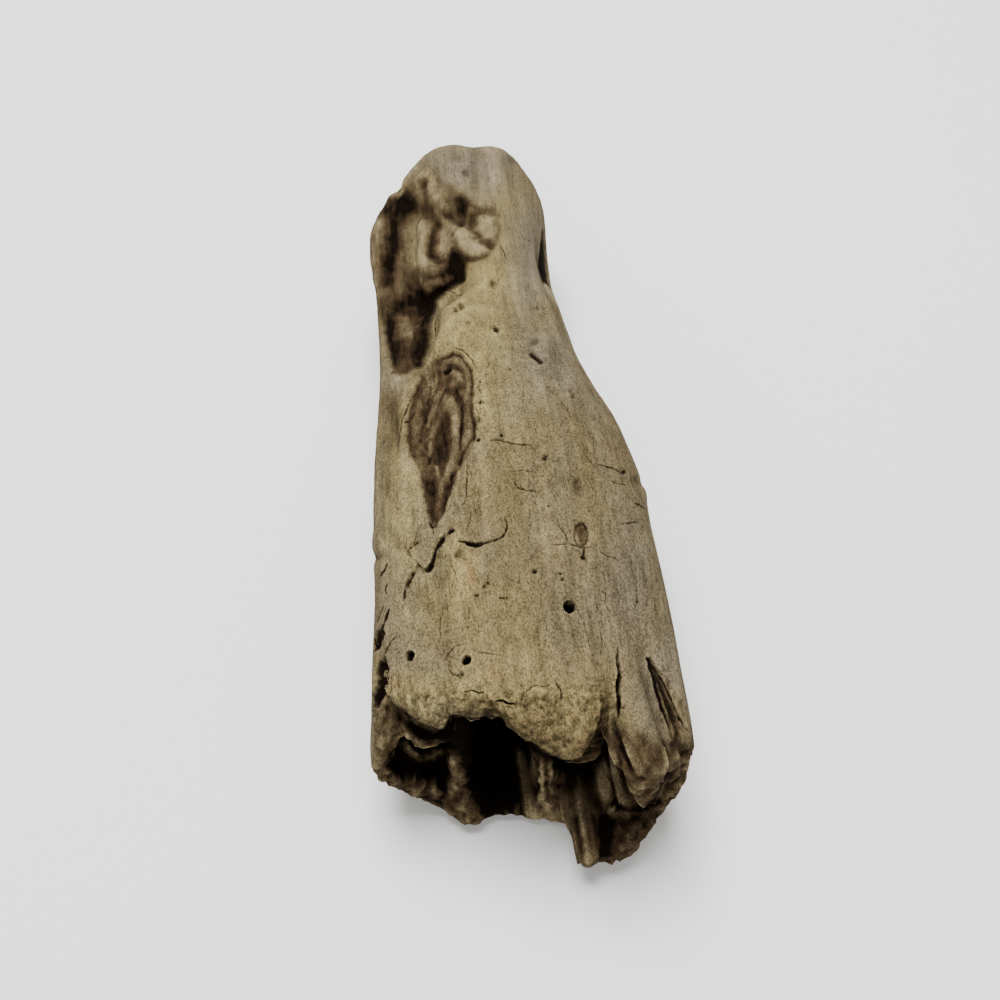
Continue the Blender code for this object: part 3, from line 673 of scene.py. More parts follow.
class DriftwoodColours(PropertyGroup):
    bare: colour_property("Bare wood", "The sand-worn wood", (0.14, 0.106, 0.049))
    warm: colour_property("Warm wood", "The yellower patches", (0.2, 0.156, 0.066))
    ash: colour_property("Ashen wood", "The greyer patches", (0.128, 0.108, 0.074))
    rust: colour_property("Rusty wood", "The few orange patches", (0.15, 0.082, 0.03))
    pale: colour_property("Pale wood", "The palest worn wood", (0.2, 0.156, 0.084))
    tan: colour_property("Tan wood", "Worn ridges in the rot", (0.086, 0.063, 0.033))
    # Brown also paints the shade on the lip's lower part, and rot the shadow under the lip and in
    # the deep hollow
    brown: colour_property("Brown wood", "Torn and decayed wood", (0.04, 0.0255, 0.013))
    rot: colour_property("Rot", "The darkest wood, in cracks too", (0.005, 0.003, 0.0018))


class DriftwoodStudio(PropertyGroup):
    floor: colour_property("Floor", "The studio floor", (0.88, 0.88, 0.87))
    floor_size: FloatProperty(
        name="Floor size", description="Side of the floor", default=6.0, unit="LENGTH"
    )
    key_power: FloatProperty(
        name="Key light", description="Power of the large soft light", default=46.0, unit="POWER"
    )
    fill_power: FloatProperty(
        name="Fill light", description="Power of the weak light in front", default=4.5, unit="POWER"
    )
    sky: FloatProperty(name="Sky", description="Strength of the even light", default=0.50, min=0)


# Places in the photograph


def camera_axes():
    """The camera's place, and its forward, right and up directions."""
    rise, turn = math.radians(CAMERA_RISE), math.radians(CAMERA_TURN)
    forward = np.array(
        [math.sin(turn) * math.cos(rise), math.cos(turn) * math.cos(rise), -math.sin(rise)]
    )
    right = np.array([math.cos(turn), -math.sin(turn), 0.0])
    up = np.cross(right, forward)
    return np.array(LOOK_AT) - CAMERA_FAR * forward, forward, right, up


class View:
    """Points as the photograph shows them: their pixels, and how many pixels a millimetre takes."""

    def __init__(self, points, normals):
        place, forward, right, up = camera_axes()
        away = points - place
        far = away @ forward
        self.x = PHOTO_SIZE / 2 + PIXELS_PER_TANGENT * (away @ right) / far
        self.y = PHOTO_SIZE / 2 - PIXELS_PER_TANGENT * (away @ up) / far
        self.scale = PIXELS_PER_TANGENT / far
        self.facing = -(away * normals).sum(1) / np.linalg.norm(away, axis=1)

    def shift(self, x, y):
        self.x, self.y = self.x + x, self.y + y

    def near(self, line, reach):
        """Which points lie within reach, in millimetres, of the box around a line."""
        pixels = np.array(line)
        margin = reach * self.scale.max()
        low, high = pixels.min(0) - margin, pixels.max(0) + margin
        inside = (self.x > low[0]) & (self.x < high[0]) & (self.y > low[1]) & (self.y < high[1])
        return np.flatnonzero(inside)

    def to_line(self, line, chosen):
        """How far the chosen points are from a line, in millimetres, which side of it they are on,
        and how far along it they are, from 0 to 1."""
        x, y = self.x[chosen], self.y[chosen]
        nearest, side, along = np.full(x.shape, 1e9), np.zeros(x.shape), np.zeros(x.shape)
        lengths = [math.dist(a, b) for a, b in zip(line, line[1:])]
        start = 0.0
        for (ax, ay), (bx, by), length in zip(line, line[1:], lengths):
            dx, dy = bx - ax, by - ay
            t = np.clip(((x - ax) * dx + (y - ay) * dy) / (length * length), 0, 1)
            away_x, away_y = x - ax - t * dx, y - ay - t * dy
            far = np.hypot(away_x, away_y)
            closer = far < nearest
            nearest = np.where(closer, far, nearest)
            side = np.where(closer, np.sign(dx * away_y - dy * away_x), side)
            along = np.where(closer, (start + t * length) / sum(lengths), along)
            start += length
        return nearest / self.scale[chosen], side, along

    def around(self, line, reach):
        """The points near a line, with their distance, their side and how far along it they are."""
        chosen = self.near(line, reach)
        return chosen, *self.to_line(line, chosen)

    def oval_knot(self):
        """0 in the middle of the oval knot, 1 on its ring, and more farther out."""
        return np.hypot(
            (self.x - OVAL_KNOT[0]) / OVAL_HALF[0], (self.y - OVAL_KNOT[1]) / OVAL_HALF[1]
        )

    def inside(self, outline, soft):
        """1 inside an outline and 0 outside it, over a soft edge of this width in millimetres."""
        share = np.zeros(self.x.shape)
        ring = (*outline, outline[0])
        chosen, far, _, _ = self.around(ring, soft)
        x, y = self.x[chosen], self.y[chosen]
        within = np.zeros(len(chosen), bool)
        for (ax, ay), (bx, by) in zip(ring, ring[1:]):
            crossing = ax + (y - ay) * (bx - ax) / ((by - ay) or 1)
            within ^= ((ay > y) != (by > y)) & (x < crossing)
        share[chosen] = smooth_step(0.5 + np.where(within, far, -far) / soft)
        return share

    def between(self, left, right, soft):
        """1 between two edges, given as pairs of down and across, and 0 beyond them."""
        left_x = np.interp(self.y, *zip(*left))
        right_x = np.interp(self.y, *zip(*right))
        inside = smooth_step((self.x - left_x) / soft) * smooth_step((right_x - self.x) / soft)
        top, bottom = left[0][0], left[-1][0]
        return inside * smooth_step((self.y - top) / soft) * smooth_step((bottom - self.y) / soft)

    def stains(self, spots):
        """How strong the strongest stain is at each point."""
        total = np.zeros(self.x.shape)
        for x, y, half_x, half_y, strength in spots:
            far = ((self.x - x) / half_x) ** 2 + ((self.y - y) / half_y) ** 2
            total = np.maximum(total, strength * np.exp(-far))
        return total


def smooth_step(value):
    value = np.clip(value, 0.0, 1.0)
    return value * value * (3.0 - 2.0 * value)


def faded_ends(along, share, least=0.0):
    """1 along a line, and less towards its ends over this share of its length."""
    return smooth_step(np.minimum(along, 1 - along) / share + least)


def rough(points, wide, long, seed):
    """Smooth noise from -1 to 1, drawn out along the grain, over points in millimetres."""
    scale = np.array([1.0 / wide, 1.0 / long, 1.0 / wide])
    moved = points * scale + np.array([seed, 2.3 * seed, -1.7 * seed])
    return np.array([noise.noise(Vector(p)) for p in moved])


# The mesh


def mesh_arrays(mesh):
    """Places in millimetres and normals of a mesh's points."""
    count = len(mesh.vertices)
    places, normals = np.empty(count * 3, np.float32), np.empty(count * 3, np.float32)
    mesh.vertices.foreach_get("co", places)
    mesh.vertex_normals.foreach_get("vector", normals)
    return places.reshape(-1, 3).astype(float) / MM, normals.reshape(-1, 3).astype(float)


def write_mesh(work, mesh):
    work.to_mesh(mesh)
    work.free()
    return mesh


def move_points(mesh, places):
    mesh.vertices.foreach_set("co", (places * MM).astype(np.float32).ravel())
    mesh.update()


def add_object(name, data):
    made = bpy.data.objects.new(name, data)
    bpy.context.scene.collection.objects.link(made)
    return made


def finished_mesh(shape, name):
    """The mesh of an object with its modifiers applied."""
    graph = bpy.context.evaluated_depsgraph_get()
    made = bpy.data.meshes.new_from_object(shape.evaluated_get(graph))
    made.name = name
    return made


def copy_of_solid(form):
    """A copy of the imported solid, merged, rounded off and remeshed evenly."""
    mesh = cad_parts[NODE].data.copy()
    work = bmesh.new()
    work.from_mesh(mesh)
    bmesh.ops.remove_doubles(work, verts=work.verts, dist=0.001 * MM)
    shape = add_object("driftwood_wood", write_mesh(work, mesh))
    rounded = shape.modifiers.new("rounded", "SUBSURF")
    rounded.levels = rounded.render_levels = 1
    even = shape.modifiers.new("even", "REMESH")
    even.mode = "VOXEL"
    even.voxel_size = form.detail
    soft = shape.modifiers.new("soft", "SMOOTH")
    soft.factor = 0.5
    soft.iterations = form.softening
    return shape


def borer(name, place, outwards, radius, depth):
    """A slightly narrowing cutter for one bored hole."""
    work = bmesh.new()
    bmesh.ops.create_cone(
        work,
        cap_ends=True,
        segments=BORE_SIDES,
        radius1=0.8 * radius * MM,
        radius2=1.02 * radius * MM,
        depth=2 * depth * MM,
    )
    turn = Vector(outwards).to_track_quat("Z", "Y").to_matrix().to_4x4()
    placed = Matrix.Translation(Vector(place) * MM) @ turn
    bmesh.ops.transform(work, matrix=placed, verts=work.verts)
    return add_object(name, write_mesh(work, bpy.data.meshes.new(name)))


def bore_holes(shape):
    """Bores the round holes again, where the softening has blurred them."""
    cutters = [borer(name, *bore) for name, bore in BORES.items()]
    for cutter in cutters:
        cut = shape.modifiers.new(cutter.name, "BOOLEAN")
        cut.operation = "DIFFERENCE"
        cut.solver = "MANIFOLD"
        cut.object = cutter
    mesh = finished_mesh(shape, "driftwood_bored")
    if len(mesh.vertices) < 1000:
        raise RuntimeError("the bored mesh is empty")
    shape.modifiers.clear()
    shape.data = mesh
    for cutter in cutters:
        bpy.data.objects.remove(cutter)


def fineness(points, normals):
    """How many times the mesh is to be made finer at each point."""
    view = View(points, normals)
    outwards = (points[:, 0] - PITH[0]) * normals[:, 0] + (points[:, 2] - PITH[1]) * normals[:, 2]
    seen = (view.facing > -0.02) & (outwards > -6.0)
    wanted = np.zeros(len(points))
    zone = (view.inside(SCAR_OUTLINE, 2.0) > 0) | (view.inside(BURL_OUTLINE, 2.0) > 0)
    lip = (view.y > 682) & (view.x < 610) & (points[:, 2] > 34) & (points[:, 1] < -62)
    wanted[seen & (zone | lip)] = 1
    near = np.full(len(points), 1e9)
    lines = [(crack.line, 0.5 * crack.width) for crack in CRACKS]
    lines += [(FLAKE_EDGE, 0.0), (HALF_MOON_LINE, 0.0)]
    lines += [(mark.line, 0.0) for mark in SCAR_MARKS if mark.width < 0.5]
    for line, half in lines:
        chosen, far, _, _ = view.around(line, 2.0)
        near[chosen] = np.minimum(near[chosen], far - half)
    for pit in PITS:
        if pit.radius < 1.0:
            far = np.hypot(view.x - pit.x, view.y - pit.y) / view.scale
            near = np.minimum(near, far - pit.radius)
    near = np.minimum(near, (view.oval_knot() - 1.0) * 2.0)
    wanted[seen & (near < FINE_REACH)] = 2
    for place, _, radius, _ in BORES.values():
        wanted[np.linalg.norm(points - place, axis=1) < radius + BORE_REACH] = 2
    return wanted


def refine(mesh):
    """Makes the mesh finer where the marks are."""
    for level in (1, 2):
        points, normals = mesh_arrays(mesh)
        wanted = fineness(points, normals) >= level
        work = bmesh.new()
        work.from_mesh(mesh)
        bmesh.ops.triangulate(work, faces=work.faces)
        chosen = set()
        for face in work.faces:
            if any(wanted[v.index] for v in face.verts):
                chosen.update(face.edges)
        bmesh.ops.subdivide_edges(work, edges=list(chosen), cuts=1, use_grid_fill=True)
        bmesh.ops.triangulate(work, faces=[f for f in work.faces if len(f.verts) > 3])
        write_mesh(work, mesh).update()


def ray_tree(mesh, points):
    """The mesh's faces, with its points in millimetres, ready for rays."""
    return BVHTree.FromPolygons(
        [Vector(p) for p in points], [tuple(p.vertices) for p in mesh.polygons]
    )


def under_cover(mesh, points):
    """1 where wood lies outside a point, as in the hollow, and 0 on the bark side."""
    tree = ray_tree(mesh, points)
    outwards = points - np.array([PITH[0], 0, PITH[1]])
    outwards[:, 1] = 0
    outwards /= np.linalg.norm(outwards, axis=1)[:, None] + 1e-9
    covered = np.zeros(len(points))
    for i, (point, way) in enumerate(zip(points, outwards)):
        covered[i] = tree.ray_cast(Vector(point + 0.4 * way), Vector(way), 60.0)[0] is not None
    return covered


def openness(tree, points, normals):
    """The share of the sky over each point that the wood itself leaves open."""
    turns = np.arange(SKY_RAYS) * math.pi * (3.0 - math.sqrt(5.0))
    lifts = np.sqrt((np.arange(SKY_RAYS) + 0.5) / SKY_RAYS)
    flat = np.sqrt(1.0 - lifts**2)
    ways = [Vector(w) for w in zip(flat * np.cos(turns), flat * np.sin(turns), lifts)]
    opened = np.zeros(len(points))
    for i, (point, normal) in enumerate(zip(points, normals)):
        upright = Vector(normal)
        turned = upright.to_track_quat("Z", "Y").to_matrix()
        start = Vector(point) + upright * 0.15
        for way in ways:
            opened[i] += tree.ray_cast(start, turned @ way, SKY_REACH)[0] is None
    return opened / SKY_RAYS


class Neighbours:
    """The edges of a mesh, to even out values between neighbouring points."""

    def __init__(self, mesh):
        edges = np.empty(len(mesh.edges) * 2, np.int32)
        mesh.edges.foreach_get("vertices", edges)
        self.a, self.b = edges.reshape(-1, 2).T
        self.size = len(mesh.vertices)
        self.count = np.bincount(self.a, minlength=self.size) + np.bincount(
            self.b, minlength=self.size
        )

    def spread(self, values, times):
        """The values, evened out this many times with those of the neighbours."""
        for _ in range(times):
            total = np.bincount(self.a, values[self.b], self.size)
            total += np.bincount(self.b, values[self.a], self.size)
            values = 0.5 * values + 0.5 * total / np.maximum(self.count, 1)
        return values

    def relief(self, points, normals, times):
        """How far each point stands out from its evened surroundings, in millimetres."""
        even = np.stack([self.spread(points[:, k], times) for k in range(3)], axis=1)
        return ((points - even) * normals).sum(1)


class Surface:
    """The points of the mesh: which part of the wood each one is, and what the carving makes of it.

    The parts go from 0, outside, to 1, well inside. rise is how far a point moves out, in
    millimetres. tone places it between rot and worn wood, and dark between bare wood and a crack.
    """

    def __init__(self, mesh):
        self.points, self.normals = mesh_arrays(mesh)
        self.links = Neighbours(mesh)
        self.view = View(self.points, self.normals)
        self.view.shift(
            1.3 * self.rough(2.2, 2.6, 41.0) + 0.6 * self.rough(0.9, 0.9, 43.0),
            1.3 * self.rough(2.2, 2.6, 47.0) + 0.6 * self.rough(0.9, 0.9, 49.0),
        )
        covered = smooth_step(self.links.spread(under_cover(mesh, self.points), 3))
        self.bark = 1.0 - covered
        self.seen = smooth_step(self.view.facing / 0.12)
        self.on_top = self.seen * self.bark
        self.find_break(covered)
        self.find_patches()
        self.long_fibres = self.rough(1.7, 30.0, 3.7)
        self.fine_fibres = self.rough(0.8, 12.0, 5.9)
        self.lumps = self.rough(3.2, 4.2, 12.3)
        self.small_lumps = self.rough(1.4, 1.8, 14.8)
        self.uneven = self.rough(1.2, 1.2, 17.0) + 0.6 * self.rough(3.5, 3.5, 19.0)
        self.rise, self.tone, self.dark = (np.zeros(len(self.points)) for _ in range(3))

    def rough(self, wide, long, seed):
        return rough(self.points, wide, long, seed)

    def find_break(self, covered):
        """How torn each point is, and how much it belongs to the crumbling lip."""
        points, view = self.points, self.view
        before = points[:, 1] < BREAK_START
        to_front = smooth_step((-self.normals[:, 1] - 0.15) / 0.4) * before
        low = smooth_step((41.0 - points[:, 2]) / 7.0)
        on_right = smooth_step((view.x - RIGHT_BREAK[0]) / 8.0) * (view.y > RIGHT_BREAK[1])
        torn = np.maximum(covered, to_front * np.maximum(low, on_right))
        below = view.y - SLANT_START[1] - SLANT_SLOPE * (view.x - SLANT_START[0])
        slant = smooth_step((below + 6 * self.rough(1.6, 9.0, 67.0)) / SLANT_SOFT)
        slant = slant * smooth_step((view.x - 608) / 6.0) * (view.facing > 0) * before
        under = smooth_step((view.y - np.interp(view.x, *zip(*LIP_EDGE)) - 1.0) / 3.0)
        under = under * (view.x > LIP_EDGE[0][0]) * (view.x < LIP_EDGE[-1][0] + 1)
        self.torn = np.maximum.reduce([torn, slant, under * (view.facing > 0) * before])
        lip = smooth_step((620 - view.x) / 5.0) * smooth_step((view.y - 672) / 26.0)
        lip = lip * smooth_step((points[:, 2] - 34.0) / 6.0) * before
        self.lip = lip * (1 - self.torn)

    def find_patches(self):
        """The scar, the torn strip, the burl and the slot."""
        points, view = self.points, self.view
        self.strip = self.on_top * view.between(STRIP_LEFT, STRIP_RIGHT, 2.5)
        self.scar = self.on_top * view.inside(SCAR_OUTLINE, 1.0)
        self.rim = smooth_step((view.facing + 0.35) / 0.3)
        lower = 22.0 + 7.0 * self.rough(9.0, 16.0, 63.0) + 2.0 * self.rough(2.0, 4.0, 65.0)
        past = smooth_step((view.facing + 0.8) / 0.3) * smooth_step((points[:, 2] - lower) / 3.0)
        self.burl = past * view.inside(BURL_OUTLINE, 2.2)
        turn = np.degrees(np.arctan2(points[:, 0] - PITH[0], points[:, 2] - PITH[1]))
        self.lens = np.hypot(
            (points[:, 1] - SLOT_MIDDLE) / SLOT_HALF, (turn - SLOT_TURN) / SLOT_SPAN
        )
        self.slot = smooth_step((1.15 - self.lens + 0.25 * self.rough(2.0, 4.0, 61.0)) / 0.5)

    def shade_to(self, target, share):
        self.tone += (target - self.tone) * share

    def darken(self, chosen, shade):
        self.dark[chosen] = np.maximum(self.dark[chosen], shade)

    def lay(self, marks, mask, depth=1.0):
        """Lays soft strokes over each other. Each gives its rise and tone to the points near it."""
        for mark in marks:
            chosen, far, _, _ = self.view.around(mark.line, 3.0 * mark.width)
            share = np.exp(-((far / mark.width) ** 2)) * mask[chosen]
            self.rise[chosen] += depth * mark.rise * share
            self.tone[chosen] += (mark.tone - self.tone[chosen]) * np.minimum(1.0, 1.25 * share)


def raise_relief(wood, form):
    """The grain, the torn fibres, the crumbs and knuckles, and the sunken patches."""
    grain, fibres = form.grain / MM, form.fibres / MM
    crumbs, knuckles = form.crumbs / MM, form.knuckles / MM
    ridges = wood.rough(1.5, 22.0, 1.3)
    wood.rise = grain * (ridges + 0.6 * wood.rough(5.0, 9.0, 7.7)) * wood.bark
    torn_too = np.maximum(wood.torn, 0.6 * wood.strip)
    wood.rise += fibres * (wood.long_fibres + 0.5 * wood.fine_fibres) * torn_too
    crumb = 1.0 * np.abs(wood.rough(2.4, 2.4, 8.1)) - 0.3 + 0.7 * wood.small_lumps
    crumb += 1.5 * wood.rough(7.0, 5.0, 51.0) - 1.0 * np.abs(wood.rough(0.8, 0.8, 53.0))
    wood.rise += crumbs * crumb * wood.lip
    wood.rise += knuckles * (wood.lumps + 0.6 * wood.small_lumps) * wood.burl
    aged = SCAR_DROP * wood.scar + BURL_DROP * wood.burl
    wood.rise -= aged + STRIP_DROP * wood.strip + SLOT_DROP * wood.slot
    for swell in SWELLS:
        chosen, far, _, _ = wood.view.around(swell.line, 3.0 * swell.width)
        wood.rise[chosen] += swell.rise * np.exp(-((far / swell.width) ** 2)) * wood.rim[chosen]


def lay_marks(wood):
    """The tones of torn, decayed and worn wood, with the strokes of each patch."""
    fine, lumps, small_lumps = wood.fine_fibres, wood.lumps, wood.small_lumps
    wood.tone = TORN_TONE + 0.26 * wood.long_fibres + 0.24 * fine + 0.16 * lumps
    wood.shade_to(SCAR_TONE + 0.22 * fine + 0.12 * small_lumps, wood.scar)
    wood.shade_to(BURL_TONE + 0.24 * lumps + 0.18 * small_lumps, wood.burl)
    wood.shade_to(STRIP_TONE + 0.24 * wood.long_fibres + 0.2 * fine, wood.strip)
    wood.shade_to(SLOT_TONE - 0.40 * smooth_step(1.1 - wood.lens) + 0.1 * fine, wood.slot)
    wood.lay(SCAR_MARKS, wood.scar)
    wood.lay(BURL_MARKS, wood.burl * wood.rim, BURL_DEPTH)
    wood.tone += (wood.links.spread(wood.tone, 14) - wood.tone) * 0.85 * wood.burl
    wood.lay(STRIP_MARKS, wood.strip)
    # The break's strokes hold painted shadow under the lip and painted light on its right wall
    wood.lay(TORN_MARKS, wood.torn * (wood.view.facing > 0))
    wood.tone += 0.12 * small_lumps + 0.10 * fine + 0.10 * lumps * wood.burl


def cut_cracks(wood):
    for crack in CRACKS:
        chosen, far, _, along = wood.view.around(crack.line, 2.0 * crack.width)
        mask, uneven = wood.on_top[chosen], wood.uneven[chosen]
        taper = faded_ends(along, CRACK_TAPER, 0.15)
        half = 0.6 * crack.width * (0.45 + 0.55 * taper) * (1.0 + 0.25 * uneven)
        wood.rise[chosen] -= crack.depth * taper * np.clip(1.0 - far / half, 0, 1) * mask
        shade = smooth_step(1.35 - far / half) * min(1.0, 0.55 + 0.7 * crack.width)
        shade = shade * (0.55 + 0.45 * taper) * np.clip(1.0 + 0.6 * uneven, 0, 1)
        wood.darken(chosen, shade * mask)


def cut_pits(wood):
    view = wood.view
    for pit in PITS:
        chosen = view.near([(pit.x, pit.y)], 2.5 * pit.radius)
        far = np.hypot(view.x[chosen] - pit.x, view.y[chosen] - pit.y) / view.scale[chosen]
        uneven = rough(wood.points[chosen], 0.8, 0.8, 21.0 + pit.x)
        far = far / pit.radius * (1.0 + 0.35 * uneven)
        wood.rise[chosen] -= pit.depth * np.exp(-(far**2.5)) * wood.on_top[chosen]
        wood.darken(chosen, pit.dark * np.exp(-(far**3)) * wood.on_top[chosen])


def drop_flake(wood):
    chosen, far, side, along = wood.view.around(FLAKE_EDGE, 3 * FLAKE_REACH)
    drop = smooth_step(0.5 - side * far / FLAKE_STEP) * np.exp(-((far / FLAKE_REACH) ** 2))
    ends = faded_ends(along, FLAKE_TAPER)
    wood.rise[chosen] -= FLAKE_DROP * drop * ends * wood.on_top[chosen]


def add_half_moon(wood):
    chosen, far, _, along = wood.view.around(HALF_MOON_LINE, 12.0)
    across = (wood.view.x[chosen] - HALF_MOON[0]) / HALF_MOON_HALF[0]
    down = (wood.view.y[chosen] - HALF_MOON[1]) / HALF_MOON_HALF[1]
    boss = HALF_MOON_RISE * np.exp(-(across**2 + down**2))
    line = np.exp(-((far / HALF_MOON_LINE_WIDTH) ** 2)) * faded_ends(along, 0.3, 0.3)
    wood.rise[chosen] += (boss - HALF_MOON_LINE_DEPTH * line) * wood.on_top[chosen]
    wood.darken(chosen, 0.85 * line * wood.on_top[chosen])


def add_oval_knot(wood):
    """The ring and the plug of the oval knot. Gives back where the plug is."""
    knot = wood.view.oval_knot()
    ring = np.exp(-(((knot - 1.0) / 0.13) ** 2)) * wood.on_top
    plug = smooth_step((1.05 - knot) / 0.12) * wood.on_top
    wood.rise -= OVAL_RING_DEPTH * ring + OVAL_PLUG_DEPTH * plug
    # Painted shade: the ring and the plug grow darker towards their upper side, which the sunken
    # knot's rim shades
    over = smooth_step((OVAL_KNOT[1] + 4 - wood.view.y) / 12.0)
    shade = ring * (0.30 + 0.45 * over) * np.clip(1 + 0.5 * wood.uneven, 0, 1)
    wood.dark = np.maximum(wood.dark, shade)
    wood.shade_to(0.56 - 0.22 * over + 0.5 * wood.fine_fibres + 0.3 * wood.small_lumps, plug)
    return plug


def check_hidden_sides(wood):
    """Long drying cracks on the sides that the photograph doesn't show."""
    hidden = (1 - wood.seen) * wood.bark
    check = np.abs(wood.rough(3.4, 34.0, 31.0))
    check = smooth_step((0.045 - check) / 0.03) * smooth_step(2.4 * wood.rough(9.0, 22.0, 33.0))
    wood.rise -= 0.7 * check * hidden
    wood.dark = np.maximum(wood.dark, 0.8 * check * hidden)


def carve(mesh, form):
    """Carves the marks into the mesh, and keeps what the finish needs as values of its points."""
    wood = Surface(mesh)
    raise_relief(wood, form)
    lay_marks(wood)
    cut_cracks(wood)
    cut_pits(wood)
    drop_flake(wood)
    add_half_moon(wood)
    plug = add_oval_knot(wood)
    check_hidden_sides(wood)
    moved = wood.points + wood.normals * wood.rise[:, None]
    even = np.stack([wood.links.spread(moved[:, k], 8) for k in range(3)], axis=1)
    move_points(mesh, moved + (even - moved) * (0.8 * wood.burl)[:, None])
    fit_box(mesh)
    keep_values(mesh, wood, plug)


def keep_values(mesh, wood, plug):
    points, normals = mesh_arrays(mesh)
    links, view = wood.links, wood.view
    # How open each point is to the sky, kept for the painted shade in the hollows
    opened = links.spread(openness(ray_tree(mesh, points), points, normals), 1)
    # How far each point stands out, for painted shade in the dips and painted light on the ridges
    fine, broad = links.relief(points, normals, 4), links.relief(points, normals, 20)
    # Painted shade: the lip's downward faces take the dark colour of the decayed wood
    under = smooth_step((0.30 - normals[:, 2]) / 0.5) * wood.lip
    aged = [wood.scar, wood.burl, wood.slot, wood.torn]
    round_off = smooth_step((view.facing + 0.5) / 0.9)
    values = {
        "crack": wood.dark,
        "zone": np.maximum.reduce([*aged, 0.95 * wood.strip, 0.85 * plug, 0.8 * under]),
        "tone": wood.tone,
        "lip": wood.lip,
        "open": opened,
        "upward_shade": 0.5 + 0.5 * normals[:, 2],
        # How much each point faces up, for the painted shade on the sides
        "worn": smooth_step((points[:, 1] + 10.0) / 75.0),
        "relief": 0.5 + 0.75 * fine + 0.35 * broad,
        "warm": round_off * view.stains(WARM_STAINS),
        "rust": round_off * view.stains(RUST_STAINS),
        "ash": round_off * view.stains(ASH_STAINS),
        "smudge_and_shade": round_off * view.stains(DARK_STAINS_AND_SHADE),
        "pale": round_off * view.stains(PALE_STAINS),
    }
    for name, value in values.items():
        kept = mesh.attributes.new(name, "FLOAT", "POINT")
        kept.data.foreach_set("value", np.asarray(value, np.float32))


def fit_box(mesh):
    """Stretches the mesh by a hair, so that it fills the solid's box and stands on the floor."""
    points, _ = mesh_arrays(mesh)
    low, high = (np.array(corner) / MM for corner in CAD_BOX)
    points[:, 2] = np.maximum(points[:, 2], low[2])
    mine_low, mine_high = points.min(0), points.max(0)
    points = low + (points - mine_low) * (high - low) / (mine_high - mine_low)
    move_points(mesh, points)


# The finish


class Nodes:
    """Adds nodes to a tree and links them."""

    def __init__(self, tree):
        self.tree = tree
        self.column = 0

    def add(self, kind, **settings):
        made = self.tree.nodes.new(kind)
        made.location = (self.column, 0)
        self.column += 180
        for name, value in settings.items():
            setattr(made, name, value)
        return made

    def put(self, value, socket):
        if isinstance(value, bpy.types.NodeSocket):
            self.tree.links.new(value, socket)
        else:
            socket.default_value = value

    def math(self, operation, a, b=0.0, c=0.0):
        made = self.add("ShaderNodeMath", operation=operation)
        for value, socket in zip((a, b, c), made.inputs):
            self.put(value, socket)
        return made.outputs[0]

    def times(self, *shares):
        total = shares[0]
        for share in shares[1:]:
            total = self.math("MULTIPLY", total, share)
        return total

    def mix(self, share, a, b):
        made = self.add("ShaderNodeMix", data_type="RGBA", clamp_factor=True)
        self.put(share, made.inputs[0])
        self.put(a, made.inputs[6])
        self.put(b, made.inputs[7])
        return made.outputs[2]

    def ramp(self, value, low, high, to_low=0.0, to_high=1.0):
        made = self.add("ShaderNodeMapRange", interpolation_type="SMOOTHSTEP")
        for socket, entry in zip(made.inputs, (value, low, high, to_low, to_high)):
            self.put(entry, socket)
        return made.outputs[0]

    def tones(self, value, stops):
        made = self.add("ShaderNodeValToRGB")
        self.put(value, made.inputs[0])
        for element, (place, colour) in zip(made.color_ramp.elements, (stops[0], stops[-1])):
            element.position, element.color = place, colour
        for place, colour in stops[1:-1]:
            made.color_ramp.elements.new(place).color = colour
        return made.outputs[0]

    def noise(self, vector, scale, detail, roughness, distortion=0.0, along=1.0):
        """Noise, drawn out along Y where along is below 1."""
        if along != 1.0:
            drawn = self.add("ShaderNodeMapping")
            self.put(vector, drawn.inputs["Vector"])
            drawn.inputs["Scale"].default_value = (1.0, along, 1.0)
            vector = drawn.outputs[0]
        made = self.add("ShaderNodeTexNoise")
        self.put(vector, made.inputs["Vector"])
        made.inputs["Scale"].default_value = scale
        made.inputs["Detail"].default_value = detail
        made.inputs["Roughness"].default_value = roughness
        made.inputs["Distortion"].default_value = distortion
        return made.outputs["Fac"]

    def scaled(self, vector, share):
        made = self.add("ShaderNodeVectorMath", operation="SCALE")
        self.put(vector, made.inputs[0])
        self.put(share, made.inputs["Scale"])
        return made.outputs[0]

    def value_of(self, name):
        return self.add("ShaderNodeAttribute", attribute_name=name).outputs["Fac"]


def wood_grain_group():
    """Grain along Y: long streaks, fine sanded speckle and a height for both."""
    group = bpy.data.node_groups.new("wood_grain", "ShaderNodeTree")
    group.interface.new_socket("Vector", in_out="INPUT", socket_type="NodeSocketVector")
    group.interface.new_socket("Width", in_out="INPUT", socket_type="NodeSocketFloat")
    for label in ("Streaks", "Speckle", "Height"):
        group.interface.new_socket(label, in_out="OUTPUT", socket_type="NodeSocketFloat")
    n = Nodes(group)
    given, out = n.add("NodeGroupInput"), n.add("NodeGroupOutput")
    place = n.scaled(given.outputs["Vector"], given.outputs["Width"])
    streaks = n.noise(place, 620.0, 4.0, 0.62, 0.4, along=0.055)
    wide = n.noise(place, 150.0, 3.0, 0.5, 0.3, along=0.10)
    sanded = n.noise(place, 2500.0, 3.0, 0.8, along=0.70)
    specks = n.noise(place, 700.0, 2.0, 0.6, along=0.45)
    mixed = n.math("MULTIPLY_ADD", streaks, 0.55, n.math("MULTIPLY", wide, 0.45))
    speckle = n.math("MULTIPLY_ADD", sanded, 0.80, n.math("MULTIPLY", specks, 0.20))
    height = n.math("MULTIPLY_ADD", mixed, 0.6, n.math("MULTIPLY", speckle, 0.4))
    n.put(mixed, out.inputs["Streaks"])
    n.put(speckle, out.inputs["Speckle"])
    n.put(height, out.inputs["Height"])
    return group


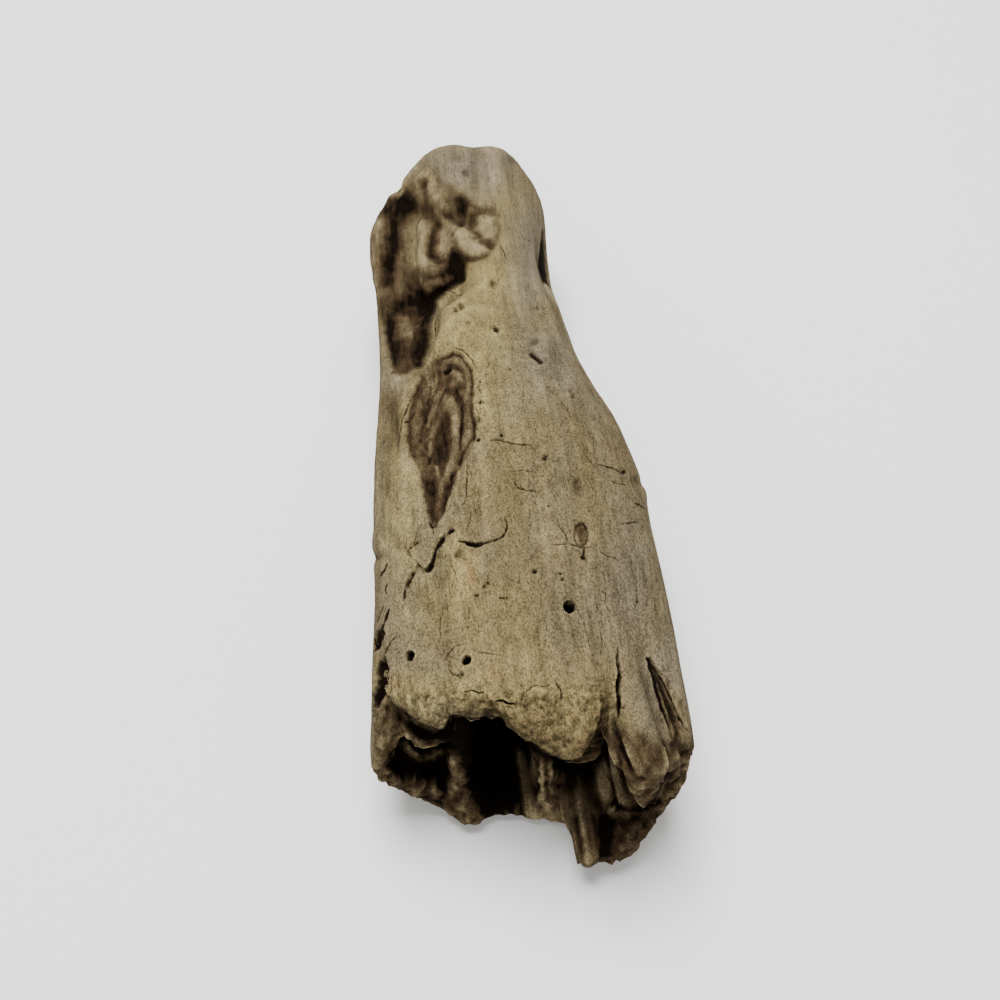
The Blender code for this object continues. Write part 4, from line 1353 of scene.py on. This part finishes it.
def place_group(n, group, vector, width):
    made = n.add("ShaderNodeGroup", node_tree=group)
    n.put(vector, made.inputs["Vector"])
    made.inputs["Width"].default_value = width
    return made.outputs


def opaque(colour):
    return (*colour, 1.0)


def new_material(name):
    """A material, its nodes, its shader and the place on the object."""
    material = bpy.data.materials.new(name)
    material.use_nodes = True
    n = Nodes(material.node_tree)
    shader = material.node_tree.nodes["Principled BSDF"]
    return material, n, shader, n.add("ShaderNodeTexCoord").outputs["Object"]


class WoodFields:
    """The noises and the kept values that the bare and the decayed wood share."""

    def __init__(self, n, place):
        group = wood_grain_group()
        self.fine = place_group(n, group, place, 1.0)
        self.torn = place_group(n, group, place, 0.6)
        self.cloud = n.noise(place, 55.0, 4.0, 0.55, 0.6, along=0.35)
        self.blotch = n.noise(place, 190.0, 3.0, 0.6, 0.3)
        self.crumb = n.noise(place, 420.0, 4.0, 0.65)
        self.flecks = n.noise(place, 2300.0, 1.0, 0.5, along=0.24)
        lines = n.noise(place, 190.0, 4.0, 0.6, 0.7, along=0.34)
        patches = n.noise(place, 75.0, 2.0, 0.5)
        hair = n.ramp(n.math("ABSOLUTE", n.math("SUBTRACT", lines, 0.5)), 0.0, 0.011, 1.0, 0.0)
        self.hair = n.times(hair, n.ramp(patches, 0.50, 0.62))
        self.lip, self.zone = n.value_of("lip"), n.value_of("zone")
        self.relief = n.value_of("relief")
        # The sanded speckle fades where the wood is worn smooth
        worn = n.value_of("worn")
        faint, strong = n.ramp(worn, 0.0, 1.0, 0.48, 0.74), n.ramp(worn, 0.0, 1.0, 1.48, 1.24)
        self.bare_speckle = n.ramp(self.fine["Speckle"], 0.36, 0.64, faint, strong)
        self.aged_speckle = n.ramp(self.fine["Speckle"], 0.34, 0.66, faint, strong)


def bare_wood(n, wood, tint):
    """The sand-worn wood with its stains, speckle and hairline cracks."""
    warm = n.math("MAXIMUM", n.value_of("warm"), n.times(wood.lip, 0.25))
    warm = n.times(warm, n.ramp(wood.blotch, 0.25, 0.6, 0.55, 1.0))
    bare = n.mix(n.ramp(wood.cloud, 0.35, 0.7, 0.0, 0.55), tint["bare"], tint["ash"])
    bare = n.mix(n.value_of("ash"), bare, tint["ash"])
    bare = n.mix(warm, bare, tint["warm"])
    bare = n.mix(n.times(n.value_of("rust"), 0.6), bare, tint["rust"])
    bare = n.mix(n.times(n.value_of("pale"), 0.4), bare, tint["pale"])
    # Dark stains, and painted shade on the lip's lower part
    bare = n.mix(n.times(n.value_of("smudge_and_shade"), 0.8), bare, tint["brown"])
    shade = n.times(
        n.ramp(wood.fine["Streaks"], 0.30, 0.70, 0.70, 1.24),
        wood.bare_speckle,
        n.ramp(wood.blotch, 0.30, 0.70, 0.91, 1.08),
        n.ramp(wood.flecks, 0.27, 0.38, 0.55, 1.0),
        n.math("MULTIPLY_ADD", wood.hair, -0.5, 1.0),
        # Painted shade in the dips and painted light on the ridges
        n.ramp(wood.relief, 0.25, 0.75, 0.72, 1.22),
        # Painted shade: the sides darker than the top, as light from above leaves them
        n.ramp(n.value_of("upward_shade"), 0.45, 1.0, 0.70, 1.0),
    )
    crumbled = n.ramp(wood.crumb, 0.34, 0.58, 0.55, 1.10)
    # Painted shade in the dips between the lip's crumbs
    crumbled = n.times(crumbled, n.ramp(wood.relief, 0.1, 0.8, 0.40, 1.15))
    crumbled = n.math("SUBTRACT", crumbled, 1.0)
    return n.scaled(bare, n.times(shade, n.math("MULTIPLY_ADD", crumbled, wood.lip, 1.0)))


def decayed_wood(n, wood, tint):
    """The torn and rotten wood, from the darkest rot to its palest ridges."""
    streak = n.math("SUBTRACT", wood.torn["Streaks"], 0.5)
    tone = n.math("MULTIPLY_ADD", streak, 1.1, n.value_of("tone"))
    # Dips turn towards rot and ridges towards pale wood: partly the rot in the dips, partly painted
    # shade and light
    tone = n.math("MULTIPLY_ADD", n.math("SUBTRACT", wood.relief, 0.5), 0.55, tone)
    stops = [(0.02, "rot"), (0.36, "brown"), (0.66, "tan"), (1.0, "pale")]
    aged = n.tones(tone, [(stop, tint[name]) for stop, name in stops])
    mottled = n.times(
        wood.aged_speckle,
        n.ramp(wood.blotch, 0.30, 0.70, 0.78, 1.20),
        n.ramp(wood.flecks, 0.27, 0.38, 0.6, 1.0),
    )
    return n.scaled(aged, mottled)


def weathered_wood(colours):
    material, n, shader, place = new_material("weathered_wood")
    tint = {name: opaque(getattr(colours, name)) for name in colours.__annotations__}
    wood = WoodFields(n, place)
    colour = n.mix(wood.zone, bare_wood(n, wood, tint), decayed_wood(n, wood, tint))
    # Painted shade: the colour darkens where the wood's own hollows hide the sky
    colour = n.scaled(colour, n.ramp(n.value_of("open"), 0.02, 0.42, 0.0, 1.0))
    colour = n.mix(n.ramp(n.value_of("crack"), 0.10, 0.90), colour, tint["rot"])
    n.put(colour, shader.inputs["Base Color"])
    n.put(n.ramp(wood.fine["Speckle"], 0.3, 0.7, 0.82, 0.95), shader.inputs["Roughness"])
    shader.inputs["Specular IOR Level"].default_value = WOOD_SPECULAR

    height = n.math("MULTIPLY_ADD", wood.crumb, n.times(wood.lip, 1.6), wood.fine["Height"])
    height = n.math("MULTIPLY_ADD", wood.torn["Height"], n.times(wood.zone, 2.5), height)
    bump = n.add("ShaderNodeBump")
    bump.inputs["Strength"].default_value = BUMP_STRENGTH
    bump.inputs["Distance"].default_value = BUMP_DEPTH * MM
    n.put(height, bump.inputs["Height"])
    n.put(bump.outputs[0], shader.inputs["Normal"])
    return material


def studio_floor(colour):
    material, n, shader, place = new_material("studio_floor")
    cloud = n.noise(place, 14.0, 2.0, 0.5)
    paler = n.mix(cloud, opaque([0.985 * c for c in colour]), opaque(colour))
    n.put(paler, shader.inputs["Base Color"])
    shader.inputs["Roughness"].default_value = 0.9
    shader.inputs["Specular IOR Level"].default_value = 0.1
    return material


# The add-on's operators


class DRIFTWOOD_OT_wood(Operator):
    """Carve the driftwood and give it its finish"""

    bl_idname = "driftwood.wood"
    bl_label = "Driftwood"

    def execute(self, context):
        form = context.scene.driftwood_form
        shape = copy_of_solid(form)
        bore_holes(shape)
        refine(shape.data)
        carve(shape.data, form)
        shape.data.name = "driftwood_wood"
        shape.data.materials.clear()
        shape.data.materials.append(weathered_wood(context.scene.driftwood_colours))
        shape.data.polygons.foreach_set("use_smooth", [True] * len(shape.data.polygons))
        shape.data.update()
        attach(shape, "root")
        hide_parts(NODE)
        return {"FINISHED"}


class DRIFTWOOD_OT_studio(Operator):
    """Set up the pale floor, the soft lights and the camera"""

    bl_idname = "driftwood.studio"
    bl_label = "Studio"

    def execute(self, context):
        studio = context.scene.driftwood_studio
        add_floor(studio)
        add_area_light("key", KEY_PLACE, KEY_SIZE, studio.key_power)
        add_area_light("fill", FILL_PLACE, FILL_SIZE, studio.fill_power)
        world = bpy.data.worlds.new("studio")
        world.use_nodes = True
        background = world.node_tree.nodes["Background"]
        background.inputs["Color"].default_value = (1, 1, 1, 1)
        background.inputs["Strength"].default_value = studio.sky
        context.scene.world = world
        add_camera(context.scene)
        return {"FINISHED"}


def add_floor(studio):
    work = bmesh.new()
    bmesh.ops.create_grid(work, x_segments=8, y_segments=8, size=studio.floor_size / 2)
    mesh = write_mesh(work, bpy.data.meshes.new("floor"))
    mesh.materials.append(studio_floor(studio.floor))
    add_object("floor", mesh)


def add_area_light(name, place, size, power):
    data = bpy.data.lights.new(name, "AREA")
    data.shape = "DISK"
    data.size = size
    data.energy = power
    light = add_object(name, data)
    light.location = place
    light.rotation_mode = "QUATERNION"
    light.rotation_quaternion = (-Vector(place)).to_track_quat("-Z", "Y")


def add_camera(scene):
    place, forward, right, up = camera_axes()
    data = bpy.data.cameras.new("photo_camera")
    data.sensor_width = SENSOR
    data.lens = SENSOR * PIXELS_PER_TANGENT / PHOTO_SIZE
    data.clip_start, data.clip_end = 0.01, 20.0
    camera = add_object("photo_camera", data)
    turned = Matrix((right, up, -forward)).transposed().to_4x4()
    camera.matrix_world = Matrix.Translation(Vector(place) * MM) @ turned
    scene.camera = camera


class DRIFTWOOD_PT_panel(Panel):
    """Shows the driftwood's settings and its two operators"""

    bl_idname = "DRIFTWOOD_PT_panel"
    bl_label = "Driftwood"
    bl_space_type = "VIEW_3D"
    bl_region_type = "UI"
    bl_category = "Driftwood"

    def draw(self, context):
        layout = self.layout
        for group in ("driftwood_form", "driftwood_colours", "driftwood_studio"):
            box = layout.box()
            settings = getattr(context.scene, group)
            for name in settings.__annotations__:
                box.prop(settings, name)
        layout.operator(DRIFTWOOD_OT_wood.bl_idname)
        layout.operator(DRIFTWOOD_OT_studio.bl_idname)


CLASSES = (
    DriftwoodForm,
    DriftwoodColours,
    DriftwoodStudio,
    DRIFTWOOD_OT_wood,
    DRIFTWOOD_OT_studio,
    DRIFTWOOD_PT_panel,
)


def register():
    for made in CLASSES:
        bpy.utils.register_class(made)
    bpy.types.Scene.driftwood_form = PointerProperty(type=DriftwoodForm)
    bpy.types.Scene.driftwood_colours = PointerProperty(type=DriftwoodColours)
    bpy.types.Scene.driftwood_studio = PointerProperty(type=DriftwoodStudio)


def unregister():
    del bpy.types.Scene.driftwood_form
    del bpy.types.Scene.driftwood_colours
    del bpy.types.Scene.driftwood_studio
    for made in reversed(CLASSES):
        bpy.utils.unregister_class(made)


def main():
    register()
    bpy.ops.driftwood.wood()
    bpy.ops.driftwood.studio()


if __name__ == "__main__":
    main()
